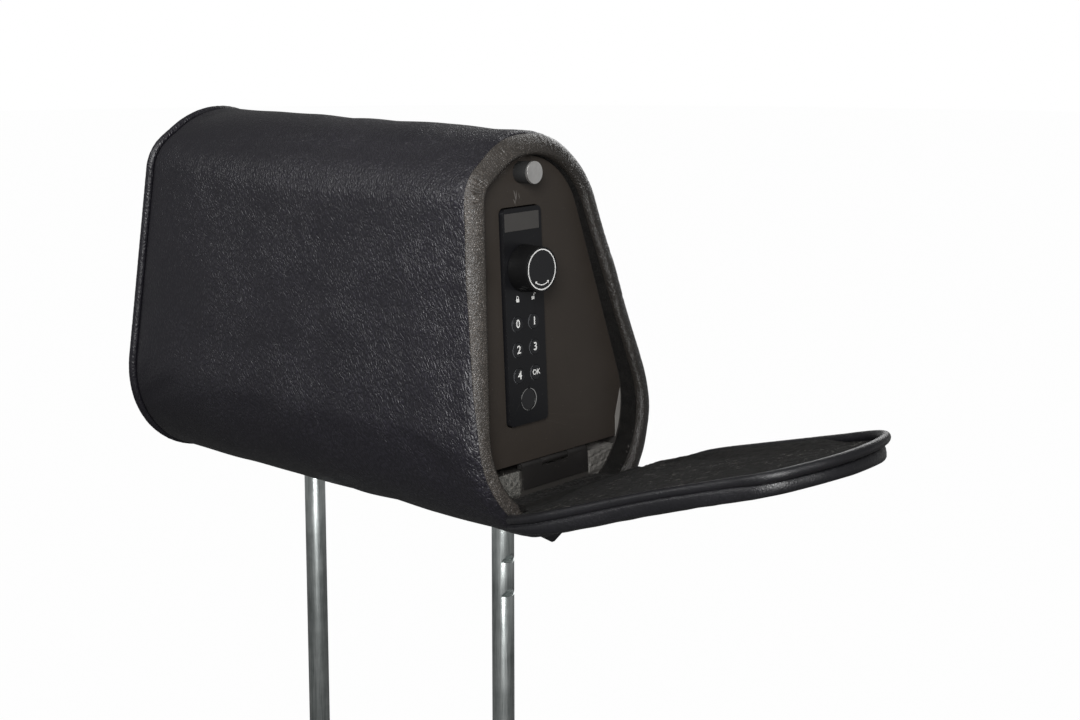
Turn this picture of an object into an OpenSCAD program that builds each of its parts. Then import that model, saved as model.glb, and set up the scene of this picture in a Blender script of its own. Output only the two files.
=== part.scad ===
// Headrest safe: a steel safe inside a padded vehicle headrest. The door sits in the
// right-hand end under a padded flap, and the headrest stands on two posts.
// Millimetres. X runs along the headrest towards the door end, Y towards its rear face and
// Z up. The origin is midway between the two posts, on the underside of the headrest.

/* [Headrest body] */
// Length of the headrest at its underside
body_len = 301; // [280:1:330]
// Lean of the two padded ends from upright, in degrees
end_lean = 5.75; // [4:0.25:7]
// Radius of the two lower edges of the cross-section
low_r = 61; // [55:0.5:66]
// Place of the front lower edge's centre, measured from the posts
front_low_y = -27.5; // [-32:0.5:-22]
// Place of the rear lower edge's centre
rear_low_y = -5.5; // [-9:0.5:0]
// Radius of the front upper edge
front_top_r = 24; // [23:0.5:28]
// Place of the front upper edge's centre
front_top_y = -55.5; // [-58:0.5:-50]
// Height of the front upper edge's centre
front_top_z = 177; // [165:0.5:185]
// Radius of the rear upper edge
rear_top_r = 54.5; // [50:0.5:58]
// Place of the rear upper edge's centre
rear_top_y = -30; // [-34:0.5:-26]
// Height of the rear upper edge's centre
rear_top_z = 157.5; // [150:0.5:165]

/* [Upholstery] */
// Thickness of the leather
leather_t = 1.6; // [1:0.1:2.5]
// Thickness of the foam between the leather and the steel
foam_t = 9.2; // [8:0.1:12]
// Width of the padded roll round the door
roll_w = 12.8; // [11.5:0.1:14]
// Depth of the padded roll round the door
roll_depth = 11; // [10:0.5:14]
// Radius of the roll's inner edge
roll_inner_r = 3.2; // [2:0.1:4]
// Depth of the roll's inner wall
roll_wall = 6.5; // [5:0.1:7]
// Thickness of the felt lining behind the roll
lining_t = 1.6; // [1:0.1:2]
// Radius of the piping round the far end
far_piping_r = 2.6; // [2:0.1:3.5]
// How far the far end's piping stands out from the side
far_piping_out = 1.2; // [0.5:0.1:2]
// Swell of the far end panel
far_crown = 3; // [1:0.5:6]

/* [Flap] */
// Height of the flap's fold line
fold_s = 24; // [20:0.5:28]
// Angle between the closed flap and the open flap
flap_open = 78.25; // [40:0.25:90]
// Radius of the piping on the flap's inner edge
flap_piping_r = 3.2; // [2.5:0.1:4]
// Thickness of the flap's padded outer cover
flap_cover_t = 7.2; // [6:0.1:9]
// Thickness of the stiff board inside the flap
flap_board_t = 2.4; // [1.5:0.1:3]
// Thickness of the flap's felt
flap_felt_t = 1.2; // [0.8:0.1:1.6]
// Distance between the closed flap's felt and the padded roll
flap_felt_gap = 5.8; // [5.6:0.1:7]
// Diameter of the steel plate that the catch holds
strike_d = 16; // [12:0.5:20]
// Height from the fold to where the closed flap's cover starts
fold_margin = 2.4; // [2:0.1:5]
// Width of the flap's fold
fold_w = 96; // [60:1:100]
// Width of the tape under the fold
tape_w = 76; // [50:1:96]
// Height of the tape under the fold
tape_drop = 15.5; // [8:0.5:20]
// Thickness of the tongue on the flap's felt
tongue_t = 1.2; // [0.8:0.1:1.3]
// Overlap of the tongue and the felt
tongue_lap = 8; // [4:0.5:20]

/* [Posts] */
// Distance between the two posts
post_gap = 160; // [140:1:180]
// Diameter of a post
post_d = 12.7; // [10:0.1:14]
// How far each post's shoulder steps in where it enters the headrest
post_step = 1; // [0.6:0.1:1.5]
// Length of a post below the headrest
post_len = 190; // [150:1:240]
// Length of the tapered tip of a post
post_tip = 3; // [1:0.5:6]
// Depth of a height notch
notch_depth = 3; // [1.5:0.1:4]
// Height of a height notch
notch_h = 9; // [6:0.5:12]
// Depth of the first notch below the headrest
notch_first = 31; // [25:1:60]
// Distance from notch to notch
notch_pitch = 20; // [15:1:30]
// Number of notches
notches = 2; // [1:1:4]
// Thickness of the saddle plate that carries the posts
saddle_t = 3; // [2:0.5:4]
// Length of the saddle plate beyond each post
saddle_over = 36; // [30:1:45]
// Width of the saddle plate
saddle_w = 62; // [50:1:70]
// Wall of the collar welded round a post
collar_wall = 4.5; // [3:0.5:6]
// Distance from a post to the saddle's bolts
saddle_bolt_dx = 22; // [18:1:26]
// Diameter of the saddle's bolts
saddle_bolt_d = 6; // [5:0.5:6]

/* [Safe] */
// Distance from the padded end to the door, at the underside
door_setback = 17.5; // [17:0.5:20]
// Lean of the door and the back plate from upright, in degrees
door_lean = 2.75; // [2:0.25:3.5]
// Steel thickness of the shell
shell_t = 1.5; // [1.2:0.1:2]
// Steel thickness of the back plate
back_t = 2; // [1.5:0.1:3]
// Thickness of the mat on the floor of the safe
mat_t = 2.5; // [2:0.1:3]
// Height of the mat's edges
mat_h = 40; // [25:1:60]
// Depth of the door frame's flange behind the door face
flange_depth = 15.6; // [15:0.1:18]
// Thickness of the door frame's flange
flange_t = 2; // [1.5:0.1:2.5]
// Width of the door frame's flange
flange_w = 5.2; // [4:0.1:6]
// Height of the sill under the door
sill_s = 35.2; // [33:0.1:36]

/* [Door] */
// Thickness of the door plate
door_t = 2; // [1.5:0.1:3]
// Gap round the door
door_gap = 0.5; // [0.3:0.1:1]
// Height of the door's lower edge
door_base = 39.5; // [39.2:0.1:41]
// Thickness of the door's folded edge
door_fold_t = 1.5; // [1:0.1:2]
// Setback of the folded edge from the door's edge
door_fold_in = 1.1; // [0.9:0.1:1.6]
// Depth of the folded edge behind the door plate
door_fold_depth = 13.2; // [10:0.1:13.4]
// How far the door's lower corners are set in, so that they swing clear of the recess
corner_in = 5.8; // [5.5:0.1:8]
// Height at which that set-in begins
corner_s = 68; // [66:0.5:75]
// Height at which that set-in is whole
knee_s = 50.5; // [49:0.5:51]

/* [Hinge] */
// Height of the hinge axis
hinge_s = 37.3; // [37:0.1:37.4]
// Depth of the hinge axis behind the door face
hinge_depth = 1.1; // [1:0.1:1.2]
// Radius of the knuckles
knuckle_r = 1.9; // [1.7:0.1:2]
// Radius of the hinge pin
hinge_pin_r = 1; // [0.8:0.1:1.2]
// Running clearance round the hinge pin
pin_fit = 0.04; // [0.02:0.01:0.08]
// Thickness of the hinge leaves
leaf_t = 1; // [0.8:0.1:1.2]
// Width of the hinge
hinge_w = 52; // [40:1:60]
// Place of the hinge's middle
hinge_y = -14.5; // [-20:0.5:-10]
// Width of the hinge's middle knuckle
knuckle_w = 20.6; // [16:0.1:24]
// Gap between knuckles
knuckle_gap = 0.3; // [0.2:0.05:0.5]
// Height of the hinge's lower leaf
leaf_h = 12.3; // [10:0.1:14]

/* [Lock panel] */
// Place of the lock panel's middle
lock_y = -35.1; // [-38:0.1:-32]
// Width of the lock panel
lock_w = 29.4; // [28:0.1:32]
// Height of the lock panel's lower end
lock_s0 = 60; // [56:0.5:64]
// Height of the lock panel
lock_h = 113; // [110:0.5:116]
// Corner radius of the lock panel
lock_r = 2.8; // [2:0.1:4]
// How far the lock panel stands out from the door
lock_out = 2; // [1.5:0.1:2.5]
// Wall of the lock panel
lock_wall = 1.8; // [1.5:0.1:2]
// Depth of the lock panel behind the door face
lock_depth = 13; // [12:0.1:13.4]
// Thickness of the lock's rear case
case_t = 2.2; // [1.5:0.1:2.4]
// Thickness of the circuit board
board_t = 1.6; // [1:0.1:2]
// Diameter of a key
key_d = 7.6; // [6.5:0.1:9]
// Travel of a key
key_travel = 0.4; // [0.2:0.1:0.5]
// Distance between the two columns of keys
key_dx = 12.6; // [11:0.1:14]
// Distance between the rows of keys
key_ds = 13.5; // [12:0.1:15]
// Height of the lowest row of keys
key_s0 = 86; // [84:0.5:90]
// Height of the fingerprint reader
finger_s = 72.7; // [70:0.1:75]
// Diameter of the ring round the fingerprint reader
finger_d = 12.4; // [10:0.1:14]
// Height of the knob
knob_s = 141.6; // [140:0.1:144]
// Diameter of the knob where it meets the panel
knob_base_d = 24.8; // [22:0.1:26]
// Diameter of the knob's face
knob_face_d = 23.4; // [20:0.1:24]
// Distance from the door face to the knob's face
knob_out = 14.6; // [13:0.1:14.8]
// Width of the plain window above the knob
window_w = 26.4; // [22:0.1:27]
// Height of the plain window
window_h = 9.4; // [8:0.1:10]
// Distance from the panel's upper end to the window
window_top = 2.4; // [2:0.1:4]

/* [Bolt work] */
// Diameter of the spindle
spindle_d = 6; // [5:0.1:7]
// Teeth of the pinion
pinion_teeth = 12; // [12:4:16]
// Module of the pinion and the racks
gear_module = 0.7; // [0.6:0.02:0.72]
// Pressure angle of the teeth, in degrees
pressure_angle = 25; // [22:1:27]
// Thinning of each tooth flank
flank_play = 0.06; // [0.04:0.01:0.1]
// Thickness of a locking bolt
bolt_t = 3; // [2.5:0.1:3]
// Width of a locking bolt
bolt_w = 8; // [6:0.1:9]
// Gap between layers of the bolt work
layer_gap = 0.5; // [0.3:0.05:0.6]
// Thickness of the plate that carries the bolts
plate_t = 1.5; // [1:0.1:1.8]
// Gap between the lock's rear case and that plate
plate_gap = 0.8; // [0.4:0.1:0.9]
// Distance from the shell to the drawn-back bolts
bolt_back = 6.7; // [6.5:0.1:7.2]
// Inset of the carrier plate and the inner cover
carrier_inset = 21.5; // [20.5:0.1:22]
// Height of the inner cover's lower edge
cover_base = 50; // [46:0.5:54]
// Wall of the inner cover
cover_wall = 1.4; // [1:0.1:2]
// Depth of the inner cover
cover_depth = 14; // [13.6:0.1:16]
// Diameter of a battery
cell_d = 10.3; // [10:0.1:10.5]
// Length of a battery
cell_len = 44.5; // [42:0.1:46]
// Height of the battery box's lower end
cells_s0 = 56; // [54:0.5:60]
// Diameter of the standoffs
standoff_d = 5; // [4:0.5:6]

/* [Catch] */
// Place of the catch post
catch_y = -33; // [-36:0.5:-30]
// Height of the catch post
catch_s = 191; // [188:0.5:192]
// Diameter of the catch post
catch_d = 11.4; // [9:0.1:12]
// Length of the catch post with its disc
catch_len = 10.3; // [9:0.1:10.4]
// Thickness of the catch's disc
catch_disc_t = 1.5; // [1:0.1:2]

/* [Hidden] */
$fn = 72;

// Working clearances
fit = 0.2;
seat = 0.05;
far = 600;

// Insets from the outside of the headrest
shell_in = leather_t + foam_t;
cavity_in = shell_in + shell_t;
door_in = cavity_in + door_gap;
door_x = body_len / 2 - door_setback;

// The cross-section is four round edges joined by straight walls: [y, z, r, segments]
corners = [[rear_low_y, low_r, low_r, 20], [rear_top_y, rear_top_z, rear_top_r, 18],
  [front_top_y, front_top_z, front_top_r, 14], [front_low_y, low_r, low_r, 18]];

// Direction of the straight wall from one round edge to the next, as its outward angle
function wall_angle(a, b) =
  let (d = [b[0] - a[0], b[1] - a[1]])
  atan2(d[1], d[0]) - acos((a[2] - b[2]) / norm(d));
function wrap(a) = a < 0 ? wrap(a + 360) : a;
function arc_from(i) = wall_angle(corners[(i + 3) % 4], corners[i]);
function arc_turn(i) = wrap(wall_angle(corners[i], corners[(i + 1) % 4]) - arc_from(i));

// A round edge's centre, seen in a plane that leans and stands out by a depth
function centre(i, lean, depth) =
  [corners[i][0], (corners[i][1] - depth * sin(lean)) / cos(lean)];

// Points of the cross-section, set in by an inset, in a plane that may lean
function ring(inset, lean = 0, depth = 0) = [for (i = [0:3])
  let (n = corners[i][3], c = centre(i, lean, depth), r = corners[i][2] - inset)
  for (k = [0:n]) let (a = arc_from(i) + arc_turn(i) * k / n) c + r * [cos(a), sin(a)]];

// The same outline with everything below a level left out, as an open line
function arch(inset, base, lean, depth) = [for (i = [0:3])
  let (n = corners[i][3], c = centre(i, lean, depth), r = corners[i][2] - inset,
    low = asin(max(-1, min(1, (base - c[1]) / r))),
    a0 = i == 0 ? low : arc_from(i),
    a1 = i == 3 ? 180 - low : arc_from(i) + arc_turn(i),
    b0 = i == 0 ? a0 : wrap(a0), b1 = i == 0 ? arc_from(i) + arc_turn(i) : b0 + wrap(a1 - b0))
  for (k = [0:n]) let (a = b0 + (b1 - b0) * k / n) c + r * [cos(a), sin(a)]];

module outline(inset, lean = 0, depth = 0) polygon(ring(inset, lean, depth));

// Faces between neighbouring rings of points, and caps for an open stack
function strip(a, b, n, open) = [for (k = [0:n - (open ? 2 : 1)])
  let (m = (k + 1) % n) each [[a + k, b + m, a + m], [a + k, b + k, b + m]]];
function cap(a, n, top) = [for (k = [1:n - 2]) top ? [a, a + k + 1, a + k] : [a, a + k, a + k + 1]];

// A solid stacked from levels of [height, inset], closed by a cap at each end
module stack(rings, heights) {
  n = len(rings[0]);
  m = len(rings);
  polyhedron([for (j = [0:m - 1]) for (p = rings[j]) [p[0], p[1], heights[j]]],
    concat([for (j = [0:m - 2]) each strip(j * n, (j + 1) * n, n, false)],
      cap(0, n, false), cap((m - 1) * n, n, true)));
}

// A closed hoop whose section is a loop of [height, inset]
module hoop(section, lean) {
  rings = [for (p = section) ring(p[1], lean, p[0])];
  n = len(rings[0]);
  m = len(section);
  polyhedron([for (j = [0:m - 1]) for (p = rings[j]) [p[0], p[1], section[j][0]]],
    [for (j = [0:m - 1]) each strip(j * n, ((j + 1) % m) * n, n, false)]);
}

// A bow whose section is a loop of [height, inset], open along a base line
module bow(section, base, lean) {
  rings = [for (p = section) arch(p[1], base, lean, p[0])];
  n = len(rings[0]);
  m = len(section);
  polyhedron([for (j = [0:m - 1]) for (p = rings[j]) [p[0], p[1], section[j][0]]],
    concat([for (j = [0:m - 1]) each strip(j * n, ((j + 1) % m) * n, n, true)],
      [for (j = [1:m - 2]) [0, (j + 1) * n, j * n]],
      [for (j = [1:m - 2]) [n - 1, j * n + n - 1, (j + 1) * n + n - 1]]));
}

function loop_of(r, h, inset, n) = [for (k = [0:n - 1]) [h + r * sin(360 * k / n), inset - r * cos(360 * k / n)]];

// Places: the padded end, the far end, the door's plane and the back plate's plane.
// Inside each, x is across the headrest, y runs up the plane and z points out of the end.
module at_rim() translate([body_len / 2, 0, 0]) rotate([0, -end_lean, 0]) rotate([90, 0, 90]) children();
module at_door() translate([door_x, 0, 0]) rotate([0, -door_lean, 0]) rotate([90, 0, 90]) children();
module at_far() mirror([1, 0, 0]) at_rim() children();
module at_back() mirror([1, 0, 0]) at_door() children();

// Space between two planes square to the local z
module slab(z0, z1) translate([-far / 2, -far / 2, z0]) cube([far, far, z1 - z0]);

// The cross-section drawn along the headrest, between the far end's plane and the padded end's
module along(inset) rotate([90, 0, 90]) translate([0, 0, -body_len]) linear_extrude(2 * body_len) outline(inset);

// A point of the door's plane seen in the padded end's plane
function door_to_rim(s, h) = let (t = end_lean - door_lean, dx = -door_setback)
  [s * cos(t) + h * sin(-t) * -1 - dx * sin(end_lean), -s * -sin(t) + h * cos(t) + dx * cos(end_lean)];

module each_post() for (side = [-1, 1]) translate([side * post_gap / 2, 0, 0]) children();

// Upholstery

module leather_cover() color([0.07, 0.07, 0.08]) difference() {
  intersection() {
    along(0);
    at_rim() slab(-far, -roll_depth);
    at_far() slab(-far, -2 * far_piping_r);
  }
  along(leather_t);
  each_post() translate([0, 0, -1]) cylinder(r = post_d / 2 + fit, h = leather_t + 6);
}

// The roll's section: a large outer round, a small inner round and a step behind it
roll_outer_r = roll_w - roll_inner_r;
roll_section = concat(
  [[-roll_depth, 0]],
  [for (k = [0:6]) let (a = 15 * k) [roll_outer_r * (sin(a) - 1), roll_outer_r * (1 - cos(a))]],
  [for (k = [1:4]) let (a = 22.5 * k) [roll_inner_r * (cos(a) - 1), roll_outer_r + roll_inner_r * sin(a)]],
  [[-roll_wall, roll_w], [-roll_wall, shell_in - 2 * fit], [-roll_depth, shell_in - 2 * fit]]);

module rim_roll() color([0.2, 0.2, 0.21]) at_rim() hoop(roll_section, end_lean);

module foam_core() color([0.35, 0.34, 0.32]) difference() {
  intersection() {
    along(leather_t);
    at_rim() slab(-far, -roll_depth);
    at_far() slab(-far, -2 * far_piping_r);
  }
  along(shell_in - fit);
  saddle_blank(fit);
  each_post() translate([0, 0, -1]) cylinder(r = post_d / 2 + collar_wall + fit, h = shell_in + 6);
  at_saddle_bolts() translate([0, 0, -1]) cylinder(r = saddle_bolt_d + fit, h = shell_in);
}

module recess_lining() color([0.03, 0.03, 0.03]) difference() {
  intersection() {
    along(shell_in + fit);
    at_rim() slab(-far, -roll_wall - seat);
    at_door() slab(seat, far);
  }
  along(shell_in + fit + lining_t);
}

// Padding on the floor of the recess, level with the foot of the hinge
sill_top = fold_s - 2;
module sill_pad() color([0.05, 0.05, 0.05]) intersection() {
  along(roll_w + 2 * fit);
  at_rim() slab(-far, -roll_inner_r / 2);
  at_door() slab(fit, far);
  translate([0, -far / 2, 0]) cube([far, far, sill_top]);
}

// Two felt patches cover the sill to the left and the right of the hinge
module felt_patches() color([0.12, 0.12, 0.11]) difference() {
  intersection() {
    at_door() linear_extrude(1.4) outline(cavity_in + fit + 0.6, door_lean, 0);
    at_door() translate([-far / 2, fold_s - 1.6, 0]) cube([far, sill_s + 0.6 - fold_s + 1.6, 3]);
  }
  at_door() translate([hinge_y - hinge_w / 2 - 1.5, 0, -1]) cube([hinge_w + 3, far, 5]);
}

// The far end's panel starts flush under the piping and swells inside it
far_in = 2 * far_piping_r - far_piping_out;
far_panel_section = [[-2 * far_piping_r, 0], [-1.72 * far_piping_r, 0], [-1.45 * far_piping_r, far_in - 0.4],
  [-far_piping_r, far_in + 0.1], [-far_piping_r / 2, far_in + 0.3], [0, far_in + 0.5],
  [far_crown * 0.5, 8.5], [far_crown * 0.85, 15], [far_crown, 22.8]];
module far_panel() color([0.07, 0.07, 0.08]) at_far()
  stack([for (p = far_panel_section) ring(p[1], end_lean, p[0])], [for (p = far_panel_section) p[0]]);

// Foam between the far end's panel and the back plate
module far_pad() color([0.35, 0.34, 0.32]) intersection() {
  along(shell_in);
  at_far() slab(-far, -2 * far_piping_r - seat);
  at_back() slab(seat, far);
}

module far_piping() color([0.06, 0.06, 0.07]) at_far()
  hoop(loop_of(far_piping_r, -far_piping_r / 2, far_piping_r - far_piping_out, 10), end_lean);

// Leather tape that ties the flap's fold to the padded end
fold_h = flap_piping_r + 0.1;
fold_r = fold_margin - 0.3;
module hinge_tape() color([0.07, 0.07, 0.08]) at_rim()
  translate([hinge_y - tape_w / 2, fold_s - tape_drop, fit]) cube([tape_w, tape_drop, fold_h - fold_r - 0.3 - fit]);

// Posts and their saddle

shank_r = post_d / 2 - post_step;
module post_shaft() {
  translate([0, 0, post_tip - post_len]) cylinder(r = post_d / 2, h = post_len - post_tip);
  translate([0, 0, -1]) cylinder(r = shank_r, h = 1 + shell_in - seat);
  translate([0, 0, -post_len]) cylinder(r1 = post_d / 2 - 0.65 * post_tip, r2 = post_d / 2, h = post_tip);
}

module post_plain() color([0.62, 0.63, 0.64]) translate([-post_gap / 2, 0, 0]) difference() {
  post_shaft();
  saddle_top_cut();
}

// Each notch has a flat lower face and a sloping upper face, on the side away from the middle
module post_notched() color([0.62, 0.63, 0.64]) translate([post_gap / 2, 0, 0]) difference() {
  post_shaft();
  saddle_top_cut();
  for (k = [0:notches - 1]) translate([post_d / 2 - notch_depth, post_d, -notch_first - k * notch_pitch])
    rotate([90, 0, 0]) linear_extrude(2 * post_d)
      polygon([[0, -notch_h * 0.35], [2 * notch_depth, notch_h * 0.65], [2 * notch_depth, -notch_h * 0.35 - 1.2]]);
}

// The posts end just under the shell's curved floor
module saddle_top_cut() translate([0, 0, shell_in - fit]) cylinder(r = post_d, h = far);

module saddle_blank(grow) intersection() {
  difference() {
    along(shell_in - saddle_t - grow);
    along(shell_in);
  }
  translate([-post_gap / 2 - saddle_over - grow, -saddle_w / 2 - 6 - grow, 0])
    cube([post_gap + 2 * saddle_over + 2 * grow, saddle_w + 2 * grow, low_r]);
}

module post_saddle() color([0.4, 0.4, 0.42]) difference() {
  saddle_blank(-seat);
  each_post() cylinder(r = shank_r + seat, h = far);
  at_saddle_bolts() cylinder(r = saddle_bolt_d / 2 + seat, h = far);
}

module post_collars() color([0.4, 0.4, 0.42]) difference() {
  intersection() {
    each_post() cylinder(r = post_d / 2 + collar_wall, h = low_r / 2);
    along(leather_t + fit);
  }
  each_post() cylinder(r = shank_r + seat, h = low_r);
  along(shell_in - saddle_t - seat);
}

// Four bolts stand on the flat of the underside, each side of each post
saddle_bolt_y = (front_low_y + rear_low_y) / 2;
module at_saddle_bolts() each_post() for (s = [-1, 1])
  translate([s * saddle_bolt_dx, saddle_bolt_y, 0]) children();

module saddle_bolts() color([0.7, 0.7, 0.72]) at_saddle_bolts() {
  translate([0, 0, leather_t + 0.8]) cylinder(r = saddle_bolt_d / 2, h = cavity_in - leather_t - 0.8);
  translate([0, 0, cavity_in + seat]) cylinder(r1 = saddle_bolt_d, r2 = saddle_bolt_d * 0.6, h = 2.2);
  translate([0, 0, cavity_in - seat]) cylinder(r = saddle_bolt_d / 2, h = 1);
}

module saddle_nuts() color([0.7, 0.7, 0.72]) at_saddle_bolts() translate([0, 0, leather_t + 1]) difference() {
  cylinder(r = saddle_bolt_d * 0.95, h = shell_in - saddle_t - leather_t - 1 - seat, $fn = 6);
  translate([0, 0, -1]) cylinder(r = saddle_bolt_d / 2 + seat, h = far);
}

// Safe

module safe_shell() color([0.13, 0.12, 0.11]) difference() {
  intersection() {
    along(shell_in);
    at_door() slab(-far, 0);
    at_back() slab(-far, 0);
  }
  along(cavity_in);
  at_saddle_bolts() cylinder(r = saddle_bolt_d / 2 + seat, h = low_r);
}

module back_plate() color([0.13, 0.12, 0.11]) at_back()
  translate([0, 0, -back_t - 1]) linear_extrude(back_t) outline(cavity_in + fit, door_lean, -back_t / 2 - 1);

module interior_mat() color([0.1, 0.1, 0.11]) difference() {
  intersection() {
    along(cavity_in + fit);
    at_door() slab(-far, -flange_depth - flange_t - fit);
    at_back() slab(-far, -back_t - 1 - fit);
    translate([-far / 2, -far / 2, 0]) cube([far, far, mat_h]);
  }
  along(cavity_in + mat_t);
  at_saddle_bolts() cylinder(r = saddle_bolt_d + 1, h = low_r);
}

flange_in = cavity_in + flange_w;

// A flange behind the door, the sill in front of it and the step that joins them
module door_frame() color([0.13, 0.12, 0.11]) at_door() difference() {
  union() {
    translate([0, 0, -flange_depth - flange_t]) linear_extrude(flange_t)
      difference() {
        outline(cavity_in + seat, door_lean, -flange_depth - flange_t / 2);
        intersection() {
          outline(flange_in, door_lean, -flange_depth);
          translate([-far / 2, door_base + flange_w]) square(far);
        }
      }
    translate([0, 0, -door_t - fit]) linear_extrude(door_t) difference() {
      sill_shape(0, corner_s + 2);
      door_shape(door_in - door_gap, sill_s);
    }
    translate([0, 0, -flange_depth - seat]) linear_extrude(flange_depth - fit - door_t + 2 * seat)
      sill_shape(sill_s - door_t, sill_s);
  }
  translate([hinge_y - knuckle_w / 2 - knuckle_gap, hinge_s - knuckle_r - 3 * fit, -hinge_depth - knuckle_r - leaf_t])
    cube([knuckle_w + 2 * knuckle_gap, far, far]);
}

module sill_shape(s0, s1) intersection() {
  outline(cavity_in + 3 * fit, door_lean, -door_t);
  translate([-far / 2, s0]) square([far, s1 - s0]);
}

// Hinge: the lower leaf is on the sill and the upper leaf is behind the door plate

module knuckle(y0, y1) translate([y0, hinge_s, -hinge_depth]) rotate([0, 90, 0]) cylinder(r = knuckle_r, h = y1 - y0);
module pin_hole() translate([-far / 2, hinge_s, -hinge_depth]) rotate([0, 90, 0])
  cylinder(r = hinge_pin_r + pin_fit, h = far);

hinge_y0 = hinge_y - hinge_w / 2;
hinge_y1 = hinge_y + hinge_w / 2;
mid_y0 = hinge_y - knuckle_w / 2;
mid_y1 = hinge_y + knuckle_w / 2;

module frame_leaf() color([0.1, 0.1, 0.1]) at_door() difference() {
  union() {
    knuckle(hinge_y0, mid_y0 - knuckle_gap);
    knuckle(mid_y1 + knuckle_gap, hinge_y1);
    translate([hinge_y0, hinge_s - leaf_h, -fit + seat]) cube([hinge_w, leaf_h, leaf_t]);
  }
  pin_hole();
  translate([mid_y0 - knuckle_gap, hinge_s - knuckle_r - 2 * fit, -5]) cube([knuckle_w + 2 * knuckle_gap, far, 10]);
}

module hinge_pin() color([0.6, 0.6, 0.6]) at_door()
  translate([hinge_y0, hinge_s, -hinge_depth]) rotate([0, 90, 0]) cylinder(r = hinge_pin_r, h = hinge_w);

module door_leaf() color([0.1, 0.1, 0.1]) at_door() difference() {
  union() {
    knuckle(mid_y0, mid_y1);
    translate([mid_y0, hinge_s, -hinge_depth - knuckle_r]) cube([knuckle_w, leaf_h, knuckle_r + hinge_depth - door_t - seat]);
  }
  pin_hole();
}

// Door

module door_shape(inset, base) intersection() {
  outline(inset, door_lean, 0);
  translate([-far / 2, base]) square(far);
  corner_limits(inset - door_in);
}

// The door's lower corners step in below the widest part of the cross-section
module corner_limits(in) {
  knee_w = low_r - door_in - corner_in - in;
  top_w = low_r - door_in - in;
  polygon([[front_low_y - knee_w + 1.6, 0], [front_low_y - knee_w, knee_s], [front_low_y - top_w, corner_s],
    [front_low_y - far, corner_s], [front_low_y - far, far], [rear_low_y + far, far], [rear_low_y + far, corner_s],
    [rear_low_y + top_w, corner_s], [rear_low_y + knee_w, knee_s], [rear_low_y + knee_w - 1.6, 0]]);
}

module lock_shape(grow) translate([lock_y, lock_s0 + lock_h / 2]) union() {
  square([lock_w - 2 * lock_r, lock_h + 2 * grow], center = true);
  square([lock_w + 2 * grow, lock_h - 2 * lock_r], center = true);
  for (x = [-1, 1], y = [-1, 1]) translate([x * (lock_w / 2 - lock_r), y * (lock_h / 2 - lock_r)])
    circle(r = lock_r + grow);
}

module door_panel() color([0.16, 0.14, 0.13]) at_door() difference() {
  union() {
    translate([0, 0, -door_t]) linear_extrude(door_t) door_shape(door_in, door_base);
    translate([0, 0, -door_t - door_fold_depth]) linear_extrude(door_fold_depth + door_t / 2) difference() {
      door_shape(door_in + door_fold_in, door_base + door_fold_in);
      door_shape(door_in + door_fold_in + door_fold_t, door_base + door_fold_in + door_fold_t);
    }
  }
  translate([0, 0, -far / 2]) linear_extrude(far) lock_shape(fit * 3);
  translate([mid_y0 - fit, hinge_s, -hinge_depth - knuckle_r - fit]) cube([knuckle_w + 2 * fit, leaf_h + fit, knuckle_r + hinge_depth + fit - door_t]);
}

module catch_post() color([0.04, 0.04, 0.04]) at_door() translate([catch_y, catch_s, 0]) difference() {
  cylinder(r = catch_d / 2, h = catch_len - catch_disc_t);
  translate([0, 0, -1]) cylinder(r = catch_d / 2 - 1.6, h = far);
}

module catch_disc() color([0.75, 0.75, 0.75]) at_door() translate([catch_y, catch_s, catch_len - catch_disc_t])
  cylinder(r = catch_d / 2 + 0.1, h = catch_disc_t);

// Lock panel

// The keys' places, row by row from the lowest: [column, row]
function key_place(col, row) = [lock_y + (col - 0.5) * key_dx, key_s0 + row * key_ds];
KEYS = [[0, 2], [1, 2], [0, 1], [1, 1], [0, 0], [1, 0]];
key_flange = 0.9;

module lock_bezel() color([0.05, 0.05, 0.06]) at_door() difference() {
  translate([0, 0, -lock_depth]) linear_extrude(lock_depth + lock_out) lock_shape(0);
  translate([0, 0, -lock_depth - 1]) linear_extrude(lock_depth + lock_out - lock_wall + 1) lock_shape(-lock_wall);
  for (k = KEYS) translate(concat(key_place(k[0], k[1]), [-1])) cylinder(r = key_d / 2 + fit, h = far);
  translate([lock_y, knob_s, 0]) cylinder(r = spindle_d / 2 + seat, h = far);
  translate([lock_y, finger_s, lock_out - 0.8]) cylinder(r = finger_d / 2 + seat, h = far);
  translate([lock_y - window_w / 2 - seat, lock_s0 + lock_h - window_top - window_h - seat, lock_out - 0.6])
    cube([window_w + 2 * seat, window_h + 2 * seat, far]);
}

module label_window() color([0.2, 0.2, 0.2]) at_door()
  translate([lock_y - window_w / 2, lock_s0 + lock_h - window_top - window_h, lock_out - 0.6])
    cube([window_w, window_h, 0.5]);

module finger_ring() color([0.8, 0.8, 0.8]) at_door() translate([lock_y, finger_s, lock_out - 0.8]) difference() {
  cylinder(r = finger_d / 2, h = 1);
  translate([0, 0, -1]) cylinder(r = finger_d / 2 - 0.7, h = far);
}

module finger_sensor() color([0.03, 0.03, 0.04]) at_door() translate([lock_y, finger_s, lock_out - 0.8])
  cylinder(r = finger_d / 2 - 0.7 - seat, h = 0.7);

board_out = lock_out - lock_wall - key_flange - 2 * fit - key_travel - 0.2;
module circuit_board() color([0.05, 0.25, 0.12]) at_door() difference() {
  translate([0, 0, board_out - board_t]) linear_extrude(board_t) lock_shape(-lock_wall - fit);
  translate([lock_y, knob_s, -far / 2]) cylinder(r = spindle_d / 2 + 1, h = far);
}

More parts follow.
